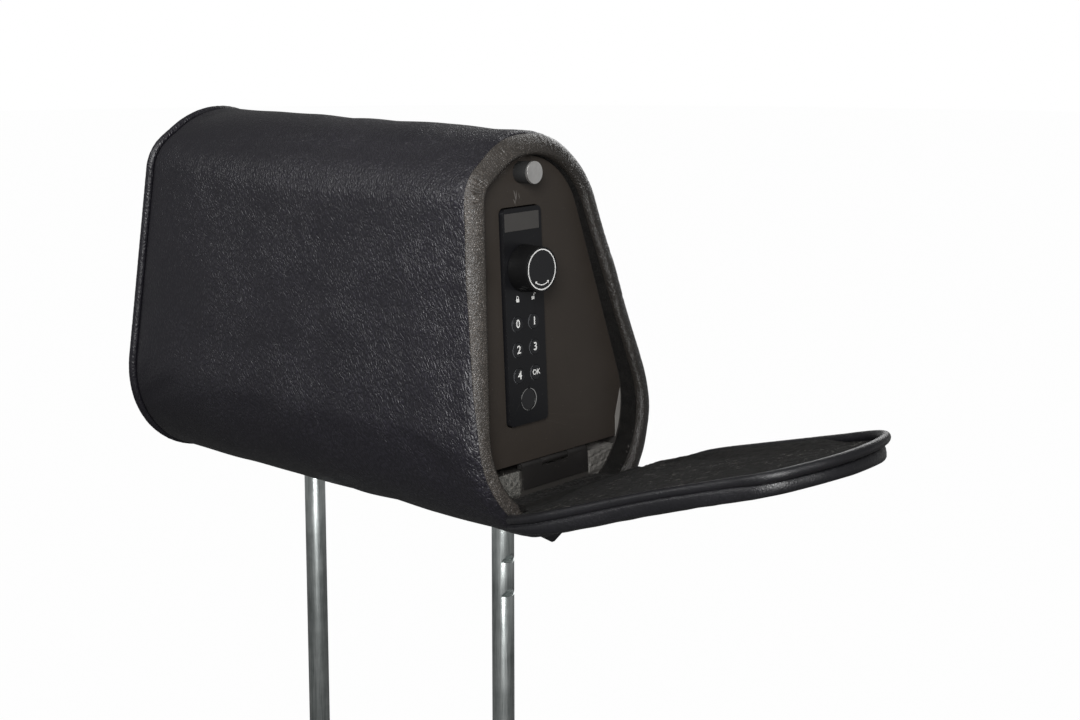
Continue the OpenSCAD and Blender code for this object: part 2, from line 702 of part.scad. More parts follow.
module clutch_motor() color([0.6, 0.6, 0.62]) at_door()
  translate([lock_y - 7, lock_s0 + 62, board_out - board_t - 4.3]) rotate([0, 90, 0]) {
    cylinder(r = 4, h = 12);
    translate([0, 0, 12]) cylinder(r = 1, h = 3);
  }

module lock_case() color([0.08, 0.08, 0.09]) at_door() difference() {
  translate([0, 0, -lock_depth - case_t]) linear_extrude(case_t - seat) lock_shape(0);
  translate([lock_y, knob_s, -far / 2]) cylinder(r = spindle_d / 2 + seat, h = far);
}

module key_at(i) at_door() translate(concat(key_place(KEYS[i][0], KEYS[i][1]), [0])) {
  translate([0, 0, lock_out - lock_wall - fit - seat]) cylinder(r = key_d / 2, h = lock_wall + fit + seat + 0.1);
  translate([0, 0, lock_out - lock_wall - fit - key_flange]) cylinder(r = key_d / 2 + 0.9, h = key_flange);
}
module key_0() color([0.09, 0.09, 0.1]) key_at(0);
module key_1() color([0.09, 0.09, 0.1]) key_at(1);
module key_2() color([0.09, 0.09, 0.1]) key_at(2);
module key_3() color([0.09, 0.09, 0.1]) key_at(3);
module key_4() color([0.09, 0.09, 0.1]) key_at(4);
module key_ok() color([0.09, 0.09, 0.1]) key_at(5);

// Knob and its shaft

face_t = 0.6;
knob_foot = lock_out + 0.3;
module knob() color([0.03, 0.03, 0.03]) at_door() translate([lock_y, knob_s, 0]) difference() {
  translate([0, 0, knob_foot]) cylinder(r1 = knob_base_d / 2, r2 = knob_face_d / 2, h = knob_out - knob_foot);
  translate([0, 0, knob_out - face_t]) cylinder(r = knob_face_d / 2 - 0.5, h = 1);
  translate([0, 0, knob_foot - 1]) cylinder(r = spindle_d / 2, h = 9);
}

module knob_face() color([0.02, 0.02, 0.02]) at_door() translate([lock_y, knob_s, knob_out - face_t])
  cylinder(r = knob_face_d / 2 - 0.5 - seat, h = face_t - 0.1);

// Depths of the bolt work's layers behind the door face
plate_h = lock_depth + case_t + plate_gap;
layer_1 = plate_h + plate_t + layer_gap;
layer_2 = layer_1 + bolt_t + layer_gap;
pitch_r = gear_module * pinion_teeth / 2;
bolt_travel = pitch_r * PI / 2;

// The spindle steps down where the pinion sits on it
journal_r = spindle_d * 0.3;
module spindle() color([0.6, 0.6, 0.62]) at_door() translate([lock_y, knob_s, 0]) {
  translate([0, 0, -layer_2 - bolt_t - 0.6]) cylinder(r = journal_r, h = layer_2 + bolt_t);
  translate([0, 0, seat - layer_1]) cylinder(r = spindle_d / 2, h = layer_1 - seat + knob_foot + 8 - 0.05);
}

// Gears: an involute pinion and straight racks

addendum = 0.9 * gear_module;
dedendum = 1.1 * gear_module;
base_r = pitch_r * cos(pressure_angle);
function inv(r) = r <= base_r ? 0 : let (a = acos(base_r / r)) tan(a) * 180 / PI - a;
function tooth_half(r) = 90 / pinion_teeth - flank_play / pitch_r * 180 / PI + inv(pitch_r) - inv(r);
flank = [pitch_r - dedendum, base_r, for (k = [1:6]) base_r + (pitch_r + addendum - base_r) * k / 6];
pinion_points = [for (t = [0:pinion_teeth - 1]) let (c = 360 * t / pinion_teeth)
  each concat([for (r = flank) r * [cos(c - tooth_half(r)), sin(c - tooth_half(r))]],
    [for (k = [len(flank) - 1:-1:0]) flank[k] * [cos(c + tooth_half(flank[k])), sin(c + tooth_half(flank[k]))]])];

module pinion() color([0.7, 0.6, 0.3]) at_door() translate([lock_y, knob_s, -layer_2 - bolt_t]) difference() {
  linear_extrude(layer_2 + bolt_t - layer_1) polygon(pinion_points);
  translate([0, 0, -1]) cylinder(r = journal_r, h = far);
}

rack_pitch = PI * gear_module;
teeth_back = ceil(bolt_travel / rack_pitch) + 2;

// A rack seen from the pinion's centre: it moves along x and lies on the +y side
module rack(reach) {
  for (k = [-teeth_back:1]) translate([(k + 0.5) * rack_pitch, pitch_r]) polygon([
    [-rack_pitch / 4 + flank_play + addendum * tan(pressure_angle), -addendum],
    [rack_pitch / 4 - flank_play - addendum * tan(pressure_angle), -addendum],
    [rack_pitch / 4 - flank_play + dedendum * tan(pressure_angle), dedendum + 0.01],
    [-rack_pitch / 4 + flank_play - dedendum * tan(pressure_angle), dedendum + 0.01]]);
  translate([-(teeth_back + 0.5) * rack_pitch, pitch_r + dedendum])
    square([reach + (teeth_back + 0.5) * rack_pitch, bolt_w]);
}

// A locking bolt: a rack on one side of the pinion, its tip cut to the shell's slope
module locking_bolt(turn, layer) at_door() translate([0, 0, -layer - bolt_t]) linear_extrude(bolt_t) intersection() {
  translate([lock_y, knob_s]) rotate(turn) rack(low_r * 2);
  outline(cavity_in + bolt_back, door_lean, -layer);
}
module bolt_rear() color([0.72, 0.72, 0.74]) locking_bolt(0, layer_1);
module bolt_front() color([0.72, 0.72, 0.74]) locking_bolt(180, layer_1);
module bolt_top() color([0.72, 0.72, 0.74]) locking_bolt(90, layer_2);

module carrier_shape(inset) intersection() {
  outline(inset, door_lean, -plate_h);
  translate([-far / 2, cover_base]) square(far);
}

module carrier_plate() color([0.45, 0.45, 0.47]) at_door() difference() {
  translate([0, 0, -plate_h - plate_t]) linear_extrude(plate_t) carrier_shape(carrier_inset);
  translate([lock_y, knob_s, -far / 2]) cylinder(r = spindle_d / 2 + seat, h = far);
}

// Two staples over each bolt: [turn, layer, distance from the pinion]
STAPLES = [[0, layer_1, 3.3 * pitch_r], [0, layer_1, 7.6 * pitch_r], [180, layer_1, 3.3 * pitch_r],
  [180, layer_1, 4.75 * pitch_r], [90, layer_2, 3.6 * pitch_r], [90, layer_2, 8.1 * pitch_r]];
staple_w = 4;
staple_wall = 1.5;
// A staple that would reach the cover's wall is cut back to it
module bolt_guides() color([0.5, 0.5, 0.52]) intersection() {
  at_door() staples();
  along(carrier_inset + cover_wall + fit);
}
module staples() for (s = STAPLES)
  translate([lock_y, knob_s, -s[1] - bolt_t - fit - staple_wall]) rotate(s[0])
    translate([s[2], pitch_r + dedendum - fit - staple_wall, 0]) difference() {
      cube([staple_w, bolt_w + 2 * (fit + staple_wall), s[1] + bolt_t + fit + staple_wall - plate_h - plate_t]);
      translate([-1, staple_wall, staple_wall]) cube([staple_w + 2, bolt_w + 2 * fit, far]);
    }

module standoffs() color([0.7, 0.7, 0.72]) at_door() for (p = STANDOFFS)
  translate([p[0], p[1], -plate_h]) cylinder(r = standoff_d / 2, h = plate_h - door_t);
STANDOFFS = [[lock_y - 0.68 * lock_w, lock_s0 + 0.9 * lock_h], [lock_y + 0.68 * lock_w, lock_s0 + 0.9 * lock_h],
  [lock_y - 0.85 * lock_w, lock_s0 + 0.053 * lock_h], [lock_y + 0.92 * lock_w, lock_s0 + 0.053 * lock_h]];

// Batteries

cell_pitch = cell_d + 0.7;
box_w = cell_len + 4;
box_h = 4 * cell_pitch + 3;
box_y0 = lock_y - box_w / 2 + 0.27 * lock_w;
box_depth = cell_d + 1.4;
module battery_box() color([0.05, 0.05, 0.05]) at_door() difference() {
  translate([box_y0, cells_s0, -plate_h - plate_t - box_depth]) cube([box_w, box_h, box_depth]);
  translate([box_y0 + 1.2, cells_s0 + 1.2, -plate_h - plate_t - box_depth - 1]) cube([box_w - 2.4, box_h - 2.4, box_depth]);
}

module batteries() color([0.2, 0.35, 0.25]) at_door() for (k = [0:3])
  translate([box_y0 + 2, cells_s0 + 1.5 + cell_pitch * (k + 0.5), -plate_h - plate_t - 1.1 - cell_d / 2])
    rotate([0, 90, 0]) {
      cylinder(r = cell_d / 2, h = cell_len - 0.8);
      translate([0, 0, cell_len - 0.8]) cylinder(r = 1.9, h = 0.8);
    }

// Inner cover over the bolt work, with a lid for the batteries

cover_top = plate_h + plate_t;
SCREWS = [[lock_y - 0.714 * lock_w, lock_s0 + 0.885 * lock_h], [lock_y + 0.885 * lock_w, lock_s0 + 0.92 * lock_h],
  [lock_y - 0.85 * lock_w, lock_s0 - 0.018 * lock_h], [lock_y + 1.7 * lock_w, lock_s0 + 0.035 * lock_h]];
module inner_cover() color([0.06, 0.06, 0.06]) at_door() difference() {
  union() {
    translate([0, 0, -cover_top - cover_depth]) linear_extrude(cover_depth - seat) difference() {
      carrier_shape(carrier_inset);
      intersection() {
        outline(carrier_inset + cover_wall, door_lean, -plate_h);
        translate([-far / 2, cover_base + cover_wall]) square(far);
      }
    }
    translate([0, 0, -cover_top - cover_depth]) linear_extrude(cover_wall) carrier_shape(carrier_inset + seat);
    for (p = SCREWS) translate([p[0], p[1], -cover_top - cover_depth + seat]) cylinder(r = 3, h = cover_depth - 2 * seat);
  }
  for (p = SCREWS) translate([p[0], p[1], -far / 2]) cylinder(r = 1.5 + seat, h = far);
  for (b = [[0, layer_1], [180, layer_1], [90, layer_2]]) translate([lock_y, knob_s, -b[1] - bolt_t - 0.6]) rotate(b[0])
    translate([0, pitch_r + dedendum - 0.6, 0]) cube([low_r * 2, bolt_w + 1.2, far]);
  translate([box_y0 - fit, cells_s0 - fit, -far / 2]) cube([box_w + 2 * fit, box_h + 2 * fit, far / 2 - cover_top - 2]);
}

module battery_lid() color([0.08, 0.08, 0.08]) at_door()
  translate([box_y0, cells_s0, -cover_top - cover_depth]) cube([box_w, box_h, cover_wall]);

module cover_screws() color([0.6, 0.6, 0.62]) at_door() for (p = SCREWS) translate([p[0], p[1], 0]) {
  translate([0, 0, -cover_top - cover_depth]) cylinder(r = 1.5, h = cover_depth - seat);
  translate([0, 0, -cover_top - cover_depth - 1.2 - seat]) cylinder(r = 2.8, h = 1.2);
  translate([0, 0, -cover_top - cover_depth - 2 * seat]) cylinder(r = 1.5, h = 1);
}

// Flap, drawn closed in the padded end's plane and turned open about the fold

module at_flap() at_rim() translate([0, fold_s, fold_h]) rotate([flap_open, 0, 0]) translate([0, -fold_s, -fold_h])
  children();

piping_in = 1;
felt_h = flap_felt_gap;
board_h = felt_h + flap_felt_t;
cover_h = fold_h + flap_piping_r + seat;
felt_in = piping_in + flap_piping_r + fit;

flap_levels = [[0, 2.4], [0.06, 1.2], [0.25, 0.35], [0.5, 0], [0.75, 0.5], [0.92, 2], [1, 4.2]];
module flap_cover() color([0.08, 0.08, 0.09]) at_flap() difference() {
  stack([for (p = flap_levels) arch(p[1], fold_s + fold_margin + p[1], end_lean, cover_h + p[0] * flap_cover_t)],
    [for (p = flap_levels) cover_h + p[0] * flap_cover_t]);
  translate([0, 0, cover_h - 1]) linear_extrude(board_h + flap_board_t + fit - cover_h + 1)
    polygon(arch(felt_in - fit, fold_s + felt_in - fit, end_lean, cover_h));
}

module flap_board() color([0.25, 0.2, 0.15]) at_flap() translate([0, 0, board_h + seat])
  linear_extrude(flap_board_t) polygon(arch(felt_in, fold_s + felt_in, end_lean, board_h));

module flap_felt() color([0.05, 0.05, 0.05]) at_flap() translate([0, 0, felt_h])
  linear_extrude(flap_felt_t) polygon(arch(felt_in, fold_s + felt_in, end_lean, felt_h));

module flap_piping() color([0.08, 0.08, 0.09]) at_flap()
  bow(loop_of(flap_piping_r, fold_h, piping_in, 10), fold_s + fold_margin, end_lean);

strike_at = door_to_rim(catch_s, catch_len);
strike_top = strike_at[1] + strike_d / 2 * sin(end_lean - door_lean) + 0.3;
module flap_strike() color([0.3, 0.3, 0.31]) at_flap() translate([catch_y, strike_at[0], strike_top])
  cylinder(r = strike_d / 2, h = felt_h - seat - strike_top);

// The fold is a round of leather with a tongue that is stuck to the flap's felt
module flap_fold() color([0.05, 0.05, 0.05]) at_flap() translate([hinge_y - fold_w / 2, fold_s, 0]) {
  translate([0, 0, fold_h]) rotate([0, 90, 0]) cylinder(r = fold_r, h = fold_w);
  translate([0, 0, felt_h - seat - tongue_t]) cube([fold_w, felt_in + tongue_lap, tongue_t]);
}

leather_cover();
rim_roll();
foam_core();
recess_lining();
sill_pad();
felt_patches();
far_panel();
far_pad();
far_piping();
hinge_tape();
post_plain();
post_notched();
post_saddle();
post_collars();
saddle_bolts();
saddle_nuts();
safe_shell();
back_plate();
door_frame();
interior_mat();
frame_leaf();
hinge_pin();
door_panel();
door_leaf();
catch_post();
catch_disc();
lock_bezel();
lock_case();
circuit_board();
clutch_motor();
label_window();
finger_ring();
finger_sensor();
carrier_plate();
standoffs();
bolt_guides();
battery_box();
batteries();
inner_cover();
battery_lid();
cover_screws();
knob();
knob_face();
spindle();
pinion();
bolt_front();
bolt_rear();
bolt_top();
key_0();
key_1();
key_2();
key_3();
key_4();
key_ok();
flap_cover();
flap_board();
flap_felt();
flap_piping();
flap_strike();
flap_fold();
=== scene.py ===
"""The headrest safe, dressed: leather, felt, painted steel, lock panel and brushed posts.

Lengths are written in millimetres and become metres where a mesh is made. X runs along the
headrest towards the door, Y towards its rear face and Z up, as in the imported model.
"""

import logging
import math
from collections.abc import Callable
from dataclasses import dataclass, field
from enum import Enum

import bpy
import numpy as np
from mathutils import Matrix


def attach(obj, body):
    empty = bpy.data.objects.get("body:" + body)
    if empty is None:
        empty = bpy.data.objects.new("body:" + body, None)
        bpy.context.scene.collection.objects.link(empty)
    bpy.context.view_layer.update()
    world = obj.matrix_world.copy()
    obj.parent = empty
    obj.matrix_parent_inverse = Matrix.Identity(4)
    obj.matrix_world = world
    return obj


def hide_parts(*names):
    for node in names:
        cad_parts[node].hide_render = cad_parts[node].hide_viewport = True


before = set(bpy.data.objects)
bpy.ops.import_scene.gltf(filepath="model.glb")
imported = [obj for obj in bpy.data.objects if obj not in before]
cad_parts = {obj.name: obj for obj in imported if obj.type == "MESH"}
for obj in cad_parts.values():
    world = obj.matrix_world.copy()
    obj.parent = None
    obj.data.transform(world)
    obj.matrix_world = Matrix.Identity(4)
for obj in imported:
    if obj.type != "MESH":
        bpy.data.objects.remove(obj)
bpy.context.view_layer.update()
LOG = logging.getLogger("headrest_safe")
MM = 0.001
TAU = 2.0 * math.pi


class Body(Enum):
    """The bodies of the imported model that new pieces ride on."""

    HEADREST = "headrest"
    DOOR = "door"
    KNOB = "knob"
    FLAP = "flap"


# ---------------------------------------------------------------- shader building


class Wire:
    """A number in a shader. Arithmetic on it adds Math nodes to the material."""

    def __init__(self, tree: bpy.types.NodeTree, socket: bpy.types.NodeSocket) -> None:
        """Keeps the tree and the output socket that carries the number."""
        self.tree = tree
        self.socket = socket

    def math(self, operation: str, *values: "Wire | float") -> "Wire":
        """Adds one Math node.

        Args:
            operation: the node's operation, such as MULTIPLY.
            values: numbers or wires for its inputs.

        Returns:
            The node's result.
        """
        node = self.tree.nodes.new("ShaderNodeMath")
        node.operation = operation
        for place, value in enumerate(values):
            if isinstance(value, Wire):
                self.tree.links.new(value.socket, node.inputs[place])
            else:
                node.inputs[place].default_value = value
        return Wire(self.tree, node.outputs[0])

    def __add__(self, other: "Wire | float") -> "Wire":
        """Sum."""
        return self.math("ADD", self, other)

    def __sub__(self, other: "Wire | float") -> "Wire":
        """Difference."""
        return self.math("SUBTRACT", self, other)

    def __rsub__(self, other: float) -> "Wire":
        """Difference from a number."""
        return self.math("SUBTRACT", other, self)

    def __mul__(self, other: "Wire | float") -> "Wire":
        """Product."""
        return self.math("MULTIPLY", self, other)

    __radd__ = __add__
    __rmul__ = __mul__

    def top(self, other: "Wire | float") -> "Wire":
        """The larger of two numbers."""
        return self.math("MAXIMUM", self, other)

    def step(self, low: float, high: float) -> "Wire":
        """A smooth step that is 0 at low and 1 at high."""
        node = self.tree.nodes.new("ShaderNodeMapRange")
        node.interpolation_type = "SMOOTHSTEP"
        self.tree.links.new(self.socket, node.inputs["Value"])
        node.inputs["From Min"].default_value = low
        node.inputs["From Max"].default_value = high
        return Wire(self.tree, node.outputs["Result"])


Colour = tuple[float, float, float]


def scaled(colour: Colour, share: float) -> Colour:
    """A colour made darker or lighter by a share."""
    return tuple(share * value for value in colour)


class Coat:
    """One material under construction, with coordinates in millimetres of the row frame."""

    def __init__(self, name: str) -> None:
        """Makes an empty material with an output and a Principled shader."""
        self.material = bpy.data.materials.new(name)
        self.material.use_nodes = True
        self.tree = self.material.node_tree
        self.tree.nodes.clear()
        self.out = self.tree.nodes.new("ShaderNodeOutputMaterial")
        self.shader = self.tree.nodes.new("ShaderNodeBsdfPrincipled")
        self.tree.links.new(self.shader.outputs[0], self.out.inputs["Surface"])
        place = self.tree.nodes.new("ShaderNodeTexCoord")
        self.place = self.vector("SCALE", {0: Wire(self.tree, place.outputs["Object"]), "Scale": 1.0 / MM})

    def node(self, kind: str, settings: dict | None = None, inputs: dict | None = None,
             out: int | str = 0) -> Wire:
        """Adds any node.

        Args:
            kind: the node's type.
            settings: its properties, set before its sockets.
            inputs: socket name or number to value or wire.
            out: the output that is wanted.

        Returns:
            A wire from that output.
        """
        node = self.tree.nodes.new(kind)
        for key, value in (settings or {}).items():
            setattr(node, key, value)
        for key, value in (inputs or {}).items():
            if isinstance(value, Wire):
                self.tree.links.new(value.socket, node.inputs[key])
            else:
                node.inputs[key].default_value = value
        return Wire(self.tree, node.outputs[out])

    def vector(self, operation: str, inputs: dict, out: int | str = 0) -> Wire:
        """Adds a Vector Math node."""
        return self.node("ShaderNodeVectorMath", {"operation": operation}, inputs, out)

    def axis(self, name: str) -> Wire:
        """One of the coordinates: X, Y or Z."""
        return self.node("ShaderNodeSeparateXYZ", None, {"Vector": self.place}, name)

    def stretched(self, stretch: tuple[float, float, float], turn: float = 0.0) -> Wire:
        """The coordinates, divided by a stretch along each axis after a turn about Y."""
        return self.node("ShaderNodeMapping", {"vector_type": "POINT"},
                         {"Vector": self.place, "Rotation": (0.0, turn, 0.0),
                          "Scale": tuple(1.0 / v for v in stretch)})

    def noise(self, size: float, detail: float = 3.0, rough: float = 0.5, place: Wire | None = None,
              twist: float = 0.0) -> Wire:
        """Cloudy noise from 0 to 1, whose blobs are about `size` millimetres across."""
        return self.node("ShaderNodeTexNoise", None,
                         {"Vector": place or self.place, "Scale": 1.0 / size, "Detail": detail,
                          "Roughness": rough, "Distortion": twist})

    def cells(self, size: float, feature: str = "F1", place: Wire | None = None) -> Wire:
        """Distance inside cells about `size` millimetres across."""
        return self.node("ShaderNodeTexVoronoi", {"feature": feature},
                         {"Vector": place or self.place, "Scale": 1.0 / size}, "Distance")

    def warped(self, size: float, amount: float) -> Wire:
        """The coordinates, pushed about by noise so that straight patterns wander."""
        push = self.node("ShaderNodeTexNoise", None,
                         {"Vector": self.place, "Scale": 1.0 / size, "Detail": 2.0}, "Color")
        centred = self.vector("SUBTRACT", {0: push, 1: (0.5, 0.5, 0.5)})
        offset = self.vector("SCALE", {0: centred, "Scale": amount})
        return self.vector("ADD", {0: self.place, 1: offset})

    def blend(self, first: Colour | Wire, second: Colour | Wire, factor: Wire) -> Wire:
        """A mix of two colours by a factor."""
        node = self.tree.nodes.new("ShaderNodeMix")
        node.data_type = "RGBA"
        self.tree.links.new(factor.socket, node.inputs["Factor"])
        for name, value in (("A", first), ("B", second)):
            socket = next(s for s in node.inputs if s.name == name and s.type == "RGBA")
            if isinstance(value, Wire):
                self.tree.links.new(value.socket, socket)
            else:
                socket.default_value = (*value, 1.0)
        return Wire(self.tree, next(s for s in node.outputs if s.type == "RGBA"))

    def bump(self, height: Wire, depth: float, strength: float = 1.0, under: Wire | None = None) -> Wire:
        """A bump of `depth` millimetres, laid over another one if given."""
        inputs = {"Height": height, "Strength": strength, "Distance": depth * MM}
        if under is not None:
            inputs["Normal"] = under
        return self.node("ShaderNodeBump", None, inputs)

    def done(self, colour: Colour | Wire, rough: float | Wire, bump: Wire | None = None,
             **plain: "float | Colour | Wire") -> bpy.types.Material:
        """Plugs everything into the shader.

        Args:
            colour: base colour, plain or varying.
            rough: roughness, plain or varying.
            bump: normal from a bump, if any.
            plain: other sockets, with an underscore for each space in the socket's name.

        Returns:
            The finished material.
        """
        values = {"Base Color": colour, "Roughness": rough}
        values.update({name.replace("_", " "): value for name, value in plain.items()})
        if bump is not None:
            values["Normal"] = bump
        for key, value in values.items():
            socket = self.shader.inputs[key]
            if isinstance(value, Wire):
                self.tree.links.new(value.socket, socket)
            elif isinstance(value, tuple) and len(value) == 3:
                socket.default_value = (*value, 1.0)
            else:
                socket.default_value = value
        return self.material


# ---------------------------------------------------------------- finishes


@dataclass(frozen=True)
class Leather:
    """Coated leather: pebbled cells broken by fine running creases."""

    name: str
    colour: Colour
    lift: Colour
    cell: float = 1.65
    crease: float = 1.6
    depth: float = 0.44
    rough: float = 0.33
    stretch: float = 2.1
    specular: float = 0.5
    # painted shade: how much darker the leather is made towards the rear side
    rear_painted_shade: float = 0.0

    def build(self) -> bpy.types.Material:
        """Makes the material: long flat-topped pebbles that lean one way, with fine wrinkles across.

        Colour lifts on the pebbles' tops, and the valleys between them are rougher and darker.
        The grain is pulled smooth towards the far end. The last option is painted shade: how much darker, and
        also glossier, the leather is made towards the rear side.
        """
        coat = Coat(self.name)
        fine = coat.node("ShaderNodeMapping", {"vector_type": "TEXTURE"},
                         {"Vector": coat.warped(12.0, 5.0), "Rotation": (0.0, -0.36, 0.0),
                          "Scale": (1.0, 1.0, self.stretch)})
        pebble = coat.cells(self.cell, "DISTANCE_TO_EDGE", fine).step(0.0, 0.34)
        small = coat.cells(self.cell * 0.5, "DISTANCE_TO_EDGE", fine).step(0.0, 0.3)
        wrinkle = coat.noise(self.crease, 3.0, 0.6, fine, 0.3).step(0.38, 0.6)
        reach = coat.axis("X").step(-150.0, -20.0)
        amount = (coat.noise(45.0, 2.0, 0.5).step(0.3, 0.65) * 0.35 + 0.65) * (reach * 0.6 + 0.4)
        height = (pebble * 0.6 + small * 0.1 + wrinkle * 0.3) * amount
        bump = coat.bump(coat.noise(34.0, 2.0, 0.5), 1.0, 0.4)
        bump = coat.bump(height, self.depth, 1.0, bump)
        tone = height * 0.75 + coat.noise(60.0, 2.0) * 0.25
        colour = coat.blend(self.colour, self.lift, tone.step(0.2, 0.95))
        rough = (1.0 - pebble) * 0.16 + coat.noise(22.0, 3.0) * 0.06 + (self.rough - 0.06)
        # painted shade: the colour is darkened towards the rear side
        if self.rear_painted_shade:
            rear = coat.axis("Y").step(-48.0, 8.0) * self.rear_painted_shade
            colour = coat.blend(colour, scaled(self.colour, 0.35), rear)
            rough = rough - rear * 0.08
        return coat.done(colour, rough, bump, Specular_IOR_Level=self.specular)


@dataclass(frozen=True)
class Felt:
    """Black needle felt with a nap, matted patches and pale lint."""

    name: str
    colour: Colour
    lint: Colour
    amount: float = 0.5

    def build(self) -> bpy.types.Material:
        """Makes the material from three sizes of noise and thin lint flecks."""
        coat = Coat(self.name)
        nap = coat.noise(0.55, 5.0, 0.7)
        mats = coat.noise(4.5, 3.0, 0.6)
        threads = coat.noise(1.3, 4.0, 0.8, coat.warped(3.0, 4.0), 2.0)
        fleck = threads.step(0.66 - 0.06 * self.amount, 0.76) * mats.step(0.35, 0.7)
        density = (nap * 0.5 + mats * 0.5).step(0.32, 0.68)
        tone = coat.blend(scaled(self.colour, 0.25), self.colour, density)
        colour = coat.blend(tone, self.lint, fleck)
        bump = coat.bump(mats, 0.8, 0.6)
        bump = coat.bump(nap, 0.7, 1.0, bump)
        return coat.done(colour, 0.95, bump, Specular_IOR_Level=0.04, Sheen_Weight=0.03,
                         Sheen_Roughness=0.5)


@dataclass(frozen=True)
class PaintedSteel:
    """Matte powder coat with fine orange peel, dust specks and rubbed patches."""

    name: str
    colour: Colour
    rough: float = 0.5
    peel: float = 0.05
    dust: float = 0.5
    specular: float = 0.45
    rear: Colour | None = None

    def build(self) -> bpy.types.Material:
        """Makes the material: peel in the bump, rubbing in the roughness, dust in the colour.

        With a `rear` colour, the coat is worn to it towards the rear side.
        """
        coat = Coat(self.name)
        peel = coat.noise(0.5, 2.0, 0.5)
        rubbed = coat.noise(26.0, 4.0, 0.6)
        scuffs = coat.noise(2.2, 4.0, 0.75, coat.stretched((1.0, 1.0, 7.0), 0.3))
        speck = 1.0 - coat.cells(2.6).step(0.05, 0.11)
        pick = coat.noise(7.0, 1.0).step(0.52, 0.6)
        dust = speck * pick * self.dust
        warm = coat.blend(scaled(self.colour, 0.86), scaled(self.colour, 1.16), rubbed)
        if self.rear is not None:
            side = coat.axis("Y").step(14.0, 26.0)
            warm = coat.blend(warm, self.rear, side * (rubbed.step(0.2, 0.6) * 0.5 + 0.5))
        colour = coat.blend(warm, (0.16, 0.15, 0.135), dust * 0.7)
        rough = rubbed * 0.12 + scuffs.step(0.55, 0.8) * 0.08 + (self.rough - 0.06)
        return coat.done(colour, rough, coat.bump(peel, self.peel, 0.8), Specular_IOR_Level=self.specular)


@dataclass(frozen=True)
class BrushedSteel:
    """Drawn and plated steel, with fine lines along one axis and cloudy zinc."""

    name: str
    colour: Colour
    dark: Colour
    along: tuple[float, float, float] = (1.0, 1.0, 60.0)
    line: float = 0.35
    rough: float = 0.32

    def build(self) -> bpy.types.Material:
        """Makes the material: lines in roughness, colour and a shallow bump."""
        coat = Coat(self.name)
        stretched = coat.stretched(self.along)
        lines = coat.noise(self.line, 3.0, 0.6, stretched)
        bands = coat.noise(self.line * 9.0, 2.0, 0.5, stretched)
        cloud = coat.noise(14.0, 3.0, 0.6)
        tone = lines * 0.45 + bands * 0.3 + cloud * 0.25
        colour = coat.blend(self.dark, self.colour, tone.step(0.3, 0.66))
        rough = lines * 0.2 + cloud * 0.12 + (self.rough - 0.14)
        return coat.done(colour, rough, coat.bump(lines, 0.03, 0.5), Metallic=1.0)


@dataclass(frozen=True)
class Moulded:
    """Moulded or printed plastic, from satin gloss to matte."""

    name: str
    colour: Colour
    rough: float
    grain: float = 0.25
    depth: float = 0.012
    specular: float = 0.5

    def build(self) -> bpy.types.Material:
        """Makes the material: spark grain, finger smears and a trace of dust."""
        coat = Coat(self.name)
        grain = coat.noise(self.grain, 2.0, 0.5)
        smear = coat.noise(9.0, 3.0, 0.65, coat.warped(12.0, 8.0))
        dust = (1.0 - coat.cells(1.7).step(0.04, 0.1)) * coat.noise(6.0, 1.0).step(0.55, 0.62)
        base = coat.blend(self.colour, tuple(1.25 * v + 0.001 for v in self.colour), smear)
        colour = coat.blend(base, (0.2, 0.2, 0.2), dust * 0.35)
        rough = smear * 0.12 + grain * 0.05 + (self.rough - 0.08)
        return coat.done(colour, rough, coat.bump(grain, self.depth, 0.6), Specular_IOR_Level=self.specular)


@dataclass(frozen=True)
class Print:
    """White or grey ink, slightly uneven."""

    name: str
    colour: Colour

    def build(self) -> bpy.types.Material:
        """Makes the material: ink whose density wanders a little."""
        coat = Coat(self.name)
        colour = coat.blend(scaled(self.colour, 0.8), self.colour, coat.noise(0.6, 2.0))
        return coat.done(colour, 0.5, coat.bump(coat.noise(0.2, 2.0), 0.01, 0.5))


@dataclass(frozen=True)
class Polished:
    """Polished metal with faint hairlines."""

    name: str
    colour: Colour
    rough: float = 0.16

    def build(self) -> bpy.types.Material:
        """Makes the material: hairlines in the roughness."""
        coat = Coat(self.name)
        hair = coat.noise(0.3, 3.0, 0.6, coat.stretched((1.0, 1.0, 9.0), 0.7))
        colour = coat.blend(scaled(self.colour, 0.82), self.colour, hair)
        rough = hair * 0.12 + (self.rough - 0.05)
        return coat.done(colour, rough, coat.bump(hair, 0.008, 0.4), Metallic=1.0)


@dataclass(frozen=True)
class Residue:
    """Dried glue with torn felt in it: grey film, pale fuzz and black crumbs."""

    name: str
    colour: Colour

    def build(self) -> bpy.types.Material:
        """Makes the material: film, crumbs and fibres by three noises."""
        coat = Coat(self.name)
        film = coat.noise(3.2, 4.0, 0.65)
        crumbs = coat.noise(0.9, 4.0, 0.7)
        fibres = coat.noise(0.7, 3.0, 0.8, coat.warped(2.0, 3.0), 3.0).step(0.6, 0.72)
        tone = coat.blend((0.006, 0.006, 0.006), self.colour, (film * 0.55 + crumbs * 0.45).step(0.3, 0.66))
        colour = coat.blend(tone, (0.3, 0.29, 0.27), fibres * 0.5)
        bump = coat.bump(film * 0.6 + crumbs * 0.4, 0.6, 0.8)
        return coat.done(colour, 0.75, bump, Specular_IOR_Level=0.3)


